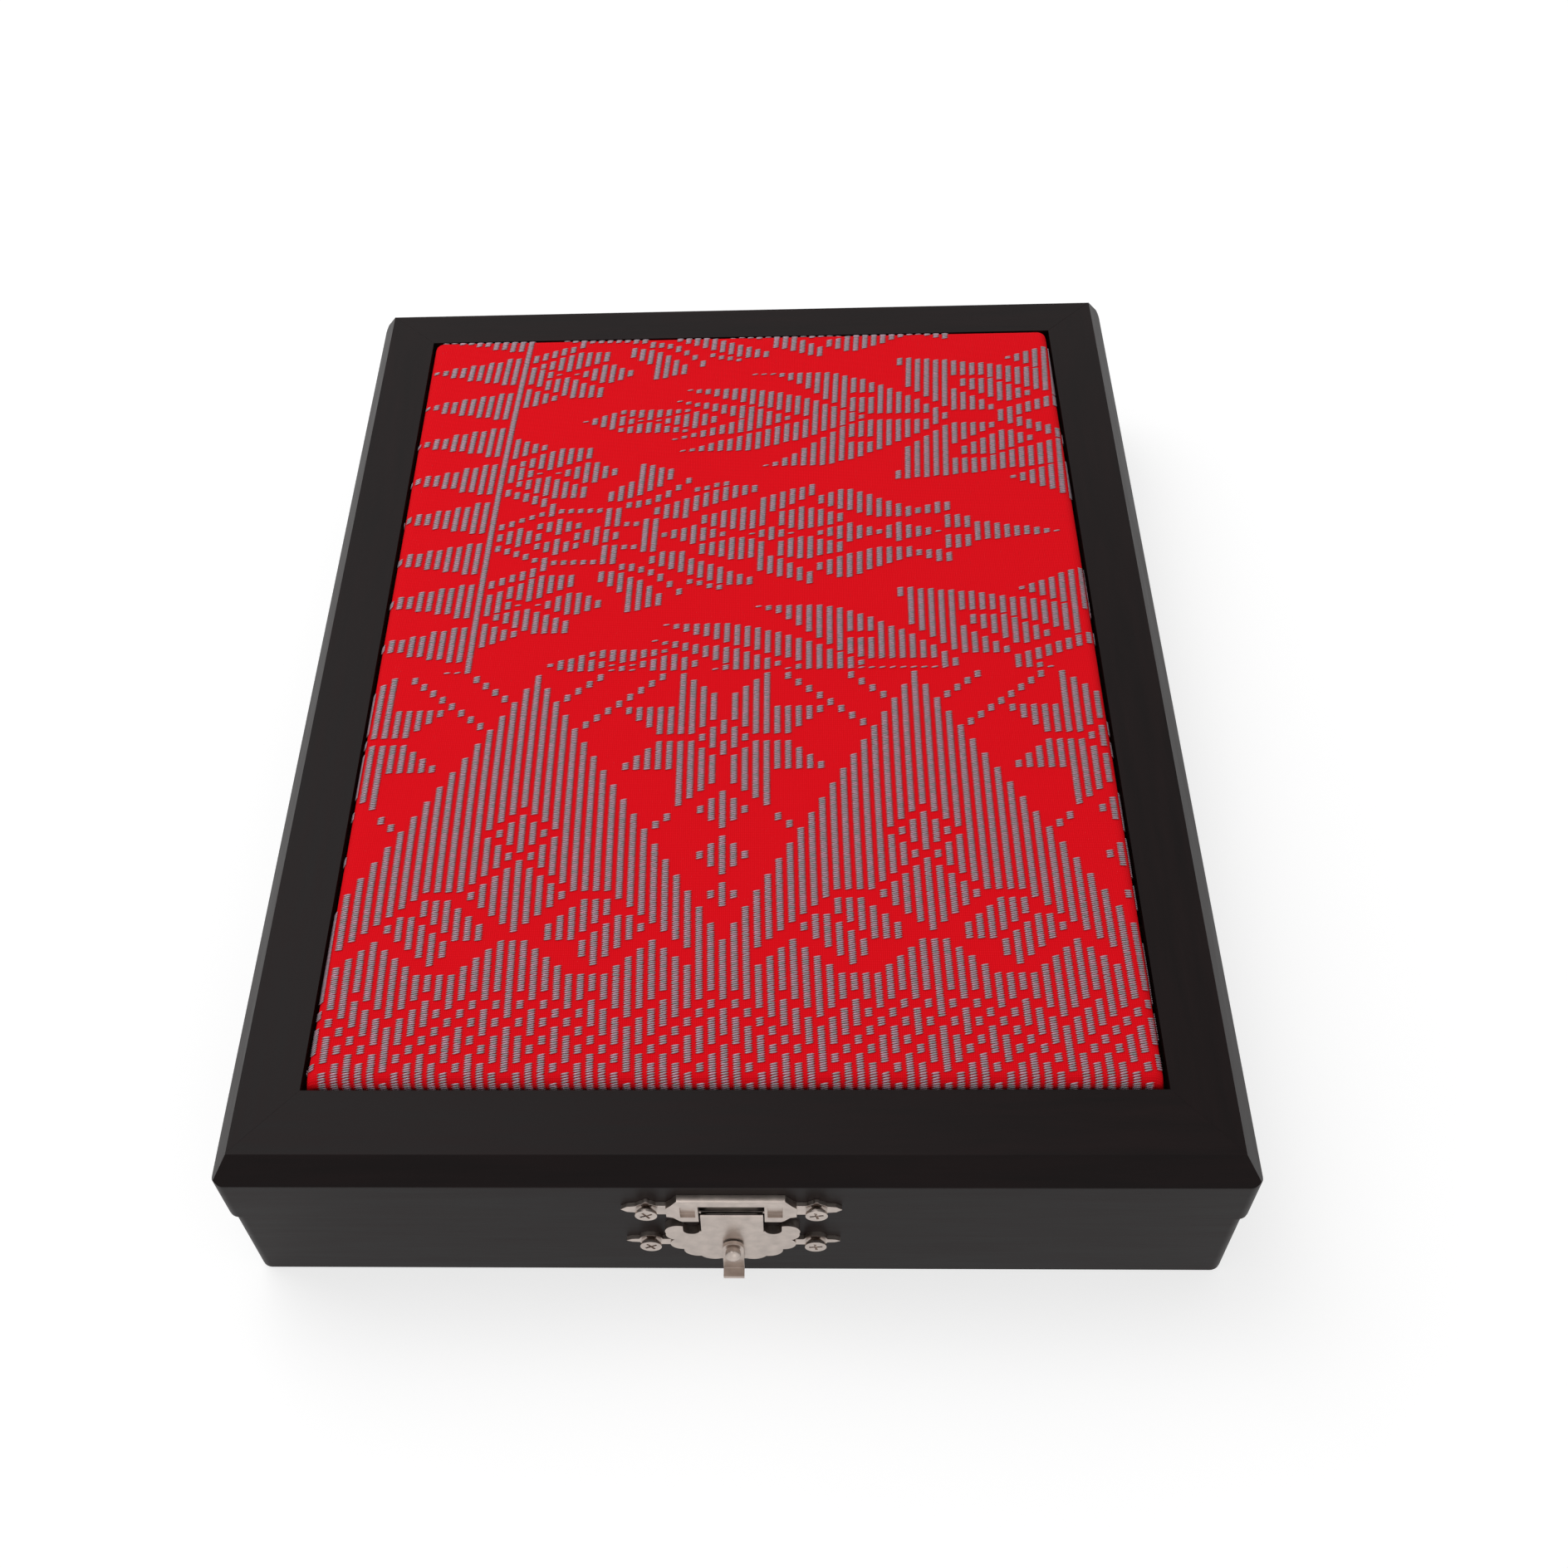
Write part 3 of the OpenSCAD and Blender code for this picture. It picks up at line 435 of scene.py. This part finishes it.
def front_zone(column, row):
    """Whether a float shows there, by the distance d from a flower's middle column"""
    d = abs((column + REPEAT // 2) % REPEAT - REPEAT // 2)
    e = REPEAT // 2 - d
    if row <= 18 and star_flower(d, row):
        return True
    if any(abs(row - middle) + d <= half for middle, half in ((19, 2), (25, 2), (30, 1))):
        return True
    if (row <= 7 and d == 6 + row) or (row <= 3 and d == 12 + row) or (row in (20, 21) and d == row - 15):
        return True
    if bamboo_shoot(e, row) or shoot_leaves(d, row):
        return True
    hump_top = min(40, 36 + abs(d - 6), 36 + max(0, 17 - d))
    return row >= hump_top and not border_gap(d, row)


# Bands of the back zone: first column, last column, and the band's two edges by column.
# The blades count from the blades' axis, the flowers from the flower's axis.

BLADES = (
    (12, 15, lambda k: 49 + 7.7 * (k - 12), lambda k: 111 - 7.7 * (k - 12)),
    (12, 16, lambda k: 202 + 7.5 * (k - 12), lambda k: 224 + 7.5 * (k - 12)),
    (37, 58, lambda k: max(8, 145 - 135 * ease_between((k - 38) / 12)),
     lambda k: 148 - 138 * clamp((k - 44) / 14) ** 1.6),
    (30, 43, lambda k: max(3, 96 - 7 * (k - 30)), lambda k: 100 - 67 * clamp((k - 36) / 11) ** 1.3),
    (44, 49, lambda k: 0, lambda k: 53 - 9.5 * (k - 44)),
    (29, 42, lambda k: max(0, 58 - 8 * (k - 29)), lambda k: min(62 - 3 * (k - 29), 38 - 8 * (k - 37))),
    (53, 53, lambda k: 168, lambda k: 190),
    (54, 58, lambda k: 95 - 16 * (k - 54), lambda k: 190 - 1.9 * (k - 54)),
    (59, 70, lambda k: 130 - 7.5 * max(0, k - 62), lambda k: 183 - 3.2 * (k - 58)),
    (60, 67, lambda k: max(95 - 12 * (k - 60), 46) + 8 * max(0, k - 65),
     lambda k: 118 - 10 * max(0, k - 63)),
    (59, 63, lambda k: 20, lambda k: 88 - 13 * (k - 59)),
    (57, 58, lambda k: 0, lambda k: 20 - 10 * (k - 57)),
    (64, 72, lambda k: max(0, 8 * (k - 66) + 4), lambda k: 18 + 8 * (k - 64)),
    (65, 72, lambda k: 183 - 8.5 * (k - 65), lambda k: 191 + 8.5 * (k - 65)),
)
FAN = (
    (12, 15, lambda k: 0, lambda k: 28 - 8.5 * (k - 12)),
    (17, 23, lambda k: 0, lambda k: 33.5 - 9 * abs(k - 20.5)),
    (13, 20, lambda k: 11 + (8.3 * (k - 16) if k >= 16 else 4 * (16 - k)),
     lambda k: min(76, 48 + 10 * (k - 14))),
)
FAN_AXIS = 157
FLOWERS = (
    (12, 16, lambda k: 0, lambda k: 25 - 7 * abs(k - 14)),
    (16, 20, lambda k: 6 + 7 * abs(k - 18), lambda k: 50 - 7 * abs(k - 18)),
    (20, 24, lambda k: 0, lambda k: 26 - 8 * abs(k - 22)),
    (12, 16, lambda k: 23 + 8.5 * (k - 12), lambda k: 38 + 8.5 * (k - 12)),
    (17, 17, lambda k: 60, lambda k: 95),
    (18, 22, lambda k: 67, lambda k: 77),
    (23, 24, lambda k: 25, lambda k: 80),
    (25, 26, lambda k: 26, lambda k: 38),
    (27, 28, lambda k: 0, lambda k: 45),
    (29, 35, lambda k: 0, lambda k: 26 - 7 * abs(k - 32)),
    (45, 51, lambda k: 0, lambda k: 26 - 7 * abs(k - 48)),
    (33, 39, lambda k: 8 + 5.5 * abs(k - 36.7), lambda k: 74 - 5.5 * abs(k - 36.7)),
    (41, 47, lambda k: 8 + 5.5 * abs(k - 43.3), lambda k: 74 - 5.5 * abs(k - 43.3)),
    (38, 42, lambda k: 0, lambda k: 19 - 8 * abs(k - 40)),
    (28, 31, lambda k: 48 + 10 * (k == 28), lambda k: 78 + 8 * (k - 28)),
    (32, 38, lambda k: 68 + 8.3 * (k - 32), lambda k: min(78 + 8 * (k - 28), 138)),
    (39, 44, lambda k: max(62, 58 + 12 * (k - 40)), lambda k: 111 + 7 * (k - 40)),
    (45, 54, lambda k: max(43, 83 - 7.5 * (k - 45)), lambda k: min(105 + 9 * (k - 45), 123 - 9 * (k - 48))),
    (55, 58, lambda k: 50 + 8 * (k == 58), lambda k: min(65 + 9 * (k - 55), 84)),
    (52, 57, lambda k: 0, lambda k: 25 - 5.5 * abs(k - 53)),
    (58, 60, lambda k: 9, lambda k: 48 - 3 * (k - 58)),
    (61, 69, lambda k: 0, lambda k: 27 - 3 * (k - 61)),
    (23, 29, lambda k: 98 + 1.7 * (k - 23) ** 2,
     lambda k: 128 + 13 * (k - 23) if k < 26 else 208 - 6 * (k - 26)),
    (25, 31, lambda k: 78 + 1.9 * (k - 25) ** 2, lambda k: 96 + 1.9 * (k - 25) ** 2),
    (32, 35, lambda k: 122 + 6 * (k - 32), lambda k: 134 + 6 * (k - 32)),
)


def in_bands(bands, column, distance):
    return any(a <= column <= b and low(column) <= distance <= high(column) for a, b, low, high in bands)


def comb_tooth(column, distance):
    tooth = HALF_REPEAT / 3
    half = 4 if column == 1 else 9 * math.ceil(column / 2) - 1
    return abs(distance % tooth - tooth / 2) <= half


def back_zone(column, place):
    """Whether a float shows there, by the distances from the blades' and the flowers' axis"""
    blade = abs((place - BLADE_AXIS + HALF_REPEAT) % (2 * HALF_REPEAT) - HALF_REPEAT)
    flower = HALF_REPEAT - blade
    if column == 0:
        return False
    if column <= 10:
        return comb_tooth(column, blade)
    if column == 11:
        return True
    # A gap runs across each blade
    if abs(column - 49) <= 1 and abs(blade - 70) < 8:
        return False
    # The small leaf on the blades' axis is crossed by two thin lines
    if 19 <= column <= 34 and blade <= min(3 + 8 * (column - 19), 36, 9 * (34 - column)):
        return not (22 < column < 31 and abs(blade - 6 * abs(column - 26)) < 4)
    if in_bands(FAN, column, abs(blade - FAN_AXIS)) and column <= 23 and flower > 96:
        return True
    return in_bands(BLADES, column, blade) or in_bands(FLOWERS, column, flower)


def cloth_lean(place):
    """How far the columns lean, in metres, from the back edge to the front"""
    t = place / CLOTH_LENGTH
    return (1.55 - 17 * t + 12.5 * t * t) * MM


def float_places(settings):
    """Column place across the panel and place along it, for every short float"""
    picks = []
    for column in range(COLUMNS):
        place = FIRST_PLACE + FLOAT_PITCH / 2
        while place < ZONE_LINE - 6:
            if back_zone(column, place):
                picks.append((column, place))
            place += FLOAT_PITCH
        for row in range(BORDER_ROWS):
            if front_zone(column, row):
                start = ZONE_LINE + ROW * row
                picks += [(column, start + FLOAT_PITCH * (i + 0.5)) for i in range(FLOATS_A_ROW)]
    return [(LEFT_COLUMN + settings.column_pitch * column + cloth_lean(place), place * STEP)
            for column, place in picks]


class PanelShape:
    """Where the cloth lies: flat with a crown, round at its edge, down the side and turned in"""

    def __init__(self, settings):
        self.low, self.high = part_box("songket_cover")
        self.middle = (self.low + self.high) / 2
        self.edge_round = settings.edge_round
        self.crown = settings.crown
        self.hem = settings.hem
        self.edge_top = self.high.z - self.crown
        self.flat_x = (self.high.x - self.low.x) / 2 - self.edge_round
        self.flat_y = (self.high.y - self.low.y) / 2 - self.edge_round
        self.arc = self.edge_round * math.pi / 2
        self.side = self.edge_top - self.edge_round - self.low.z
        self.reach = 55 * MM

    def fold(self, distance, flat):
        """Place across, drop and lean of a point of the cloth at that distance from the middle"""
        sign = 1 if distance > 0 else -1
        past = abs(distance) - flat
        if past <= 0:
            return distance, 0.0, 0.0
        if past < self.arc:
            lean = past / self.edge_round
            return (sign * (flat + self.edge_round * math.sin(lean)),
                    self.edge_round * (1 - math.cos(lean)), sign * lean)
        past -= self.arc
        if past < self.side:
            return sign * (flat + self.edge_round), self.edge_round + past, sign * math.pi / 2
        past -= self.side
        return sign * (flat + self.edge_round - past), self.edge_round + self.side, sign * math.pi

    def rise(self, x, y):
        across = 1 - (1 - clamp((self.flat_x - abs(x)) / self.reach)) ** 2
        along = 1 - (1 - clamp((self.flat_y - abs(y)) / self.reach)) ** 2
        ripple = 0.05 * MM * math.sin(x / (9 * MM)) * math.sin(y / (13 * MM) + 0.8)
        return (self.crown + ripple) * across * along

    def point(self, u, v, lift=0.0):
        x, drop_x, lean_x = self.fold(u, self.flat_x)
        y, drop_y, lean_y = self.fold(v, self.flat_y)
        normal = Vector((math.sin(lean_x), math.sin(lean_y), math.cos(lean_x) * math.cos(lean_y)))
        normal.normalize()
        z = max(self.edge_top + self.rise(u, v) - drop_x - drop_y, self.low.z)
        return Vector((x, y + self.middle.y, z)) + normal * lift, normal

    def lines(self, flat):
        """Where the cloth's grid lines run along one axis, from one hem to the other"""
        count = round(flat / (2.4 * MM))
        half = [flat * i / count for i in range(count + 1)]
        half += [flat + self.arc * i / 7 for i in range(1, 8)]
        half += [flat + self.arc + self.side * i / 3 for i in range(1, 4)]
        half += [flat + self.arc + self.side + self.hem * i / 4 for i in range(1, 5)]
        return [-x for x in reversed(half[1:])] + half


def cloth_mesh(shape):
    across, along = shape.lines(shape.flat_x), shape.lines(shape.flat_y)
    points = [shape.point(u, v, -0.05 * MM)[0] for v in along for u in across]
    wide = len(across)
    faces = [(j * wide + i, j * wide + i + 1, (j + 1) * wide + i + 1, (j + 1) * wide + i)
             for j in range(len(along) - 1) for i in range(wide - 1)]
    mesh = bpy.data.meshes.new("songket_cloth")
    mesh.from_pydata(points, [], faces)
    for polygon in mesh.polygons:
        polygon.use_smooth = True
    return mesh


def float_tree():
    """Geometry nodes: a small thread on every point, turned to the cloth's face"""
    tree = bpy.data.node_groups.new("short_floats", "GeometryNodeTree")
    kinds = {"Points": "Geometry", "Length": "Float", "Width": "Float", "Height": "Float",
             "Slant": "Float", "Unevenness": "Float", "Seed": "Int", "Material": "Material"}
    new_socket = tree.interface.new_socket
    sockets = {name: new_socket(name=name, in_out="INPUT", socket_type="NodeSocket" + kind)
               for name, kind in kinds.items()}
    new_socket(name="Floats", in_out="OUTPUT", socket_type="NodeSocketGeometry")
    link = tree.links.new
    given = add_node(tree, "NodeGroupInput")
    result = add_node(tree, "NodeGroupOutput")
    bead = add_node(tree, "GeometryNodeMeshUVSphere", Segments=6, Rings=4, Radius=0.5)
    smooth = add_node(tree, "GeometryNodeSetShadeSmooth")
    link(bead.outputs["Mesh"], smooth.inputs["Geometry"])
    size = add_node(tree, "ShaderNodeCombineXYZ")
    for axis, name in (("X", "Length"), ("Y", "Width"), ("Z", "Height")):
        link(given.outputs[name], size.inputs[axis])
    facing = add_node(tree, "GeometryNodeInputNamedAttribute", data_type="FLOAT_VECTOR")
    facing.inputs["Name"].default_value = FACING
    # The turn is the slant, give or take the unevenness
    least = add_node(tree, "ShaderNodeMath", operation="MULTIPLY")
    least.inputs[1].default_value = -1.0
    link(given.outputs["Unevenness"], least.inputs[0])
    uneven = add_node(tree, "FunctionNodeRandomValue", data_type="FLOAT")
    link(least.outputs["Value"], uneven.inputs[2])
    link(given.outputs["Unevenness"], uneven.inputs[3])
    link(given.outputs["Seed"], uneven.inputs[8])
    turn = add_node(tree, "ShaderNodeMath", operation="ADD")
    link(given.outputs["Slant"], turn.inputs[0])
    link(uneven.outputs[1], turn.inputs[1])
    euler = add_node(tree, "ShaderNodeCombineXYZ")
    link(turn.outputs["Value"], euler.inputs["Z"])
    turned = add_node(tree, "FunctionNodeEulerToRotation")
    link(euler.outputs["Vector"], turned.inputs[0])
    align = add_node(tree, "FunctionNodeAlignRotationToVector", axis="Z")
    link(turned.outputs[0], align.inputs["Rotation"])
    link(facing.outputs[0], align.inputs["Vector"])
    place = add_node(tree, "GeometryNodeInstanceOnPoints")
    link(given.outputs["Points"], place.inputs["Points"])
    link(smooth.outputs["Geometry"], place.inputs["Instance"])
    link(align.outputs["Rotation"], place.inputs["Rotation"])
    link(size.outputs["Vector"], place.inputs["Scale"])
    real = add_node(tree, "GeometryNodeRealizeInstances")
    link(place.outputs["Instances"], real.inputs["Geometry"])
    paint = add_node(tree, "GeometryNodeSetMaterial")
    link(real.outputs["Geometry"], paint.inputs["Geometry"])
    link(given.outputs["Material"], paint.inputs["Material"])
    link(paint.outputs["Geometry"], result.inputs["Floats"])
    return tree, sockets


def float_piece(name, places, tree, sockets, settings, material):
    """One piece of up to a few thousand floats, as a plain mesh"""
    mesh = bpy.data.meshes.new(name)
    mesh.from_pydata([p for p, _ in places], [], [])
    facing = mesh.attributes.new(FACING, "FLOAT_VECTOR", "POINT")
    facing.data.foreach_set("vector", [c for _, n in places for c in n])
    piece = link_object(name, mesh)
    nodes = piece.modifiers.new("short_floats", "NODES")
    nodes.node_group = tree
    values = {"Length": settings.thread_length, "Width": settings.thread_width,
              "Height": settings.thread_height, "Slant": settings.slant,
              "Unevenness": UNEVENNESS, "Seed": settings.seed, "Material": material}
    for key, value in values.items():
        nodes[sockets[key].identifier] = value
    graph = bpy.context.evaluated_depsgraph_get()
    plain = bpy.data.meshes.new_from_object(piece.evaluated_get(graph), depsgraph=graph)
    piece.modifiers.clear()
    piece.data = plain
    bpy.data.meshes.remove(mesh)
    if not plain.polygons:
        raise RuntimeError(f"{name}: the floats came out empty")
    return piece


# Operators


class KEEPSAKE_OT_case(bpy.types.Operator):
    """Lacquer the walls and the mitred frame, and finish the boards"""

    bl_idname = "keepsake.case"
    bl_label = "Case"

    def execute(self, context):
        settings = context.scene.keepsake_case
        across = lacquer_material("lacquer_across", settings.lacquer, (35, 380, 380))
        along = lacquer_material("lacquer_along", settings.lacquer, (380, 35, 380))
        for nodes, material in ((WOOD_ACROSS, across), (WOOD_ALONG, along)):
            for node in nodes:
                dressed_copy(node, "lacquered_" + node, material, settings.edge_ease)
        plywood = board_material()
        for node in BOARDS:
            repaint(node, plywood)
        return {"FINISHED"}


class KEEPSAKE_OT_linings(bpy.types.Operator):
    """Lay the velvet linings"""

    bl_idname = "keepsake.linings"
    bl_label = "Velvet linings"

    def execute(self, context):
        velvet = velvet_material(context.scene.keepsake_case.velvet)
        for node in LINING_CARRIERS:
            lining = dressed_copy(node, "velvet_" + node, velvet, 0.5 * MM, 3)
        return {"FINISHED"}


class KEEPSAKE_OT_metalwork(bpy.types.Operator):
    """Plate the catch, the hinges and their screws"""

    bl_idname = "keepsake.metalwork"
    bl_label = "Catch and hinges"

    def execute(self, context):
        settings = context.scene.keepsake_metal
        nickel = metal_material("warm_nickel", settings.nickel, 0.3)
        steel = metal_material("bright_steel", settings.steel, 0.34)
        for node in PLATES:
            dressed_copy(node, "plated_" + node, nickel, settings.plate_ease, 3)
        for node in LEAVES:
            dressed_copy(node, "plated_" + node, nickel, 0.1 * MM)
        for node in SCREWS:
            dressed_copy(node, "plated_" + node, nickel, 0.08 * MM)
        for node in STEEL_PARTS:
            repaint(node, steel)
        return {"FINISHED"}


class KEEPSAKE_OT_wadding(bpy.types.Operator):
    """Lay the wadding under the woven cloth"""

    bl_idname = "keepsake.wadding"
    bl_label = "Wadding"

    def execute(self, context):
        wadding = dressed_copy("pad_foam", "panel_wadding", wadding_material(), 0.4 * MM)
        return {"FINISHED"}


class KEEPSAKE_OT_panel(bpy.types.Operator):
    """Stretch the woven cloth over the panel and lay its metal threads"""

    bl_idname = "keepsake.panel"
    bl_label = "Woven panel"

    def execute(self, context):
        settings = context.scene.keepsake_panel
        shape = PanelShape(settings)
        cloth = link_object("songket_cloth", cloth_mesh(shape))
        cloth.data.materials.append(cloth_material(settings.ground))
        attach(cloth, "lid")
        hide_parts("songket_cover")
        lift = settings.thread_height * 0.3
        places = []
        for x, along in float_places(settings):
            v = BACK_EDGE - along - shape.middle.y
            past_x = abs(x) - shape.flat_x
            past_y = abs(v) - shape.flat_y
            corner = past_x > 0 and past_y > 0
            if corner or past_x > shape.arc or past_y > shape.arc + SIDE_FLOATS:
                continue
            places.append(shape.point(x, v, lift))
        places.sort(key=lambda pair: pair[0].y)
        count = math.ceil(len(places) / FLOATS_A_PIECE)
        tree, sockets = float_tree()
        material = thread_material(settings.thread)
        for i in range(count):
            part = places[len(places) * i // count:len(places) * (i + 1) // count]
            piece = float_piece(f"songket_threads_{i + 1}", part, tree, sockets, settings, material)
            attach(piece, "lid")
        return {"FINISHED"}


class KEEPSAKE_OT_stage(bpy.types.Operator):
    """Set the pale floor, the soft light and the camera"""

    bl_idname = "keepsake.stage"
    bl_label = "Stage"

    def execute(self, context):
        settings = context.scene.keepsake_stage
        self.make_floor()
        self.make_world(context, settings.sky)
        self.make_light("key", (-0.45, 0.35, 1.1), 0.9, settings.key_power)
        self.make_light("fill", (0.35, -0.9, 0.6), 0.7, settings.fill_power)
        self.make_camera(context)
        context.scene.view_settings.view_transform = "Standard"
        return {"FINISHED"}

    def seen_rays(self, tree):
        """1 for what the camera, a mirror or glass sees, and 0 for light on the object"""
        path = tree.nodes.new("ShaderNodeLightPath")
        total = path.outputs["Is Camera Ray"]
        for name in ("Is Glossy Ray", "Is Transmission Ray"):
            either = add_node(tree, "ShaderNodeMath", operation="MAXIMUM")
            tree.links.new(total, either.inputs[0])
            tree.links.new(path.outputs[name], either.inputs[1])
            total = either.outputs["Value"]
        return total

    def make_floor(self):
        half = 3.0
        mesh = bpy.data.meshes.new("studio_floor")
        mesh.from_pydata([(-half, -half, 0), (half, -half, 0), (half, half, 0), (-half, half, 0)],
                         [], [(0, 1, 2, 3)])
        floor = link_object("studio_floor", mesh)
        material, tree, shader = new_material("pale_floor")
        shader.inputs["Base Color"].default_value = (0.9, 0.9, 0.9, 1)
        shader.inputs["Roughness"].default_value = 0.9
        shader.inputs["Specular IOR Level"].default_value = 0.0
        glow = add_node(tree, "ShaderNodeEmission", Strength=1.36)
        share = add_node(tree, "ShaderNodeMath", operation="MULTIPLY")
        share.inputs[1].default_value = 0.5
        tree.links.new(self.seen_rays(tree), share.inputs[0])
        mix = add_node(tree, "ShaderNodeMixShader")
        tree.links.new(share.outputs["Value"], mix.inputs["Fac"])
        tree.links.new(shader.outputs["BSDF"], mix.inputs[1])
        tree.links.new(glow.outputs["Emission"], mix.inputs[2])
        output = tree.nodes["Material Output"]
        tree.links.new(mix.outputs["Shader"], output.inputs["Surface"])
        mesh.materials.append(material)

    def make_world(self, context, strength):
        world = bpy.data.worlds.new("studio_sky")
        world.use_nodes = True
        tree = world.node_tree
        sky = tree.nodes["Background"]
        sky.inputs["Color"].default_value = (1, 1, 1, 1)
        level = add_node(tree, "ShaderNodeMapRange")
        level.inputs["To Min"].default_value = strength
        level.inputs["To Max"].default_value = 1.0
        tree.links.new(self.seen_rays(tree), level.inputs["Value"])
        tree.links.new(level.outputs["Result"], sky.inputs["Strength"])
        context.scene.world = world

    def make_light(self, name, place, size, power):
        light = bpy.data.lights.new("soft_" + name, "AREA")
        light.energy = power
        light.size = size
        lamp = bpy.data.objects.new("soft_" + name, light)
        lamp.location = place
        lamp.rotation_euler = (Vector(place)).to_track_quat("Z", "Y").to_euler()
        bpy.context.scene.collection.objects.link(lamp)

    def make_camera(self, context):
        """The photograph's view, from a perspective fit of the box's corners"""
        right = Vector((0.99889, 0.02142, -0.04185))
        up = Vector((0.00911, 0.78516, 0.61923))
        back = right.cross(up).normalized()
        turn = Matrix((right, up, back)).transposed().to_4x4()
        camera = bpy.data.cameras.new("photo_view")
        camera.sensor_width = 36
        camera.lens = 40.70
        camera.shift_x = 0.0553
        camera.clip_start = 0.01
        viewer = bpy.data.objects.new("photo_view", camera)
        viewer.matrix_world = Matrix.Translation((9.972 * MM, -279.914 * MM, 350.06 * MM)) @ turn
        context.scene.collection.objects.link(viewer)
        context.scene.camera = viewer


class KEEPSAKE_PT_sidebar(bpy.types.Panel):
    """Lists the steps that dress the box"""

    bl_idname = "KEEPSAKE_PT_sidebar"
    bl_label = "Keepsake Box"
    bl_space_type = "VIEW_3D"
    bl_region_type = "UI"
    bl_category = "Keepsake Box"

    def draw(self, context):
        for group in (context.scene.keepsake_case, context.scene.keepsake_metal,
                      context.scene.keepsake_panel, context.scene.keepsake_stage):
            box = self.layout.box()
            for name in group.__annotations__:
                box.prop(group, name)
        for operator in OPERATORS:
            self.layout.operator(operator.bl_idname)


OPERATORS = (KEEPSAKE_OT_stage, KEEPSAKE_OT_case, KEEPSAKE_OT_linings, KEEPSAKE_OT_metalwork,
             KEEPSAKE_OT_wadding, KEEPSAKE_OT_panel)
CLASSES = (CaseSettings, MetalSettings, PanelSettings, StageSettings, *OPERATORS, KEEPSAKE_PT_sidebar)


def register():
    for each in CLASSES:
        bpy.utils.register_class(each)
    bpy.types.Scene.keepsake_case = PointerProperty(type=CaseSettings)
    bpy.types.Scene.keepsake_metal = PointerProperty(type=MetalSettings)
    bpy.types.Scene.keepsake_panel = PointerProperty(type=PanelSettings)
    bpy.types.Scene.keepsake_stage = PointerProperty(type=StageSettings)


def unregister():
    for name in ("keepsake_case", "keepsake_metal", "keepsake_panel", "keepsake_stage"):
        delattr(bpy.types.Scene, name)
    for each in reversed(CLASSES):
        bpy.utils.unregister_class(each)


def main():
    register()
    bpy.ops.keepsake.stage()
    bpy.ops.keepsake.case()
    bpy.ops.keepsake.linings()
    bpy.ops.keepsake.metalwork()
    bpy.ops.keepsake.wadding()
    bpy.ops.keepsake.panel()


if __name__ == "__main__":
    main()
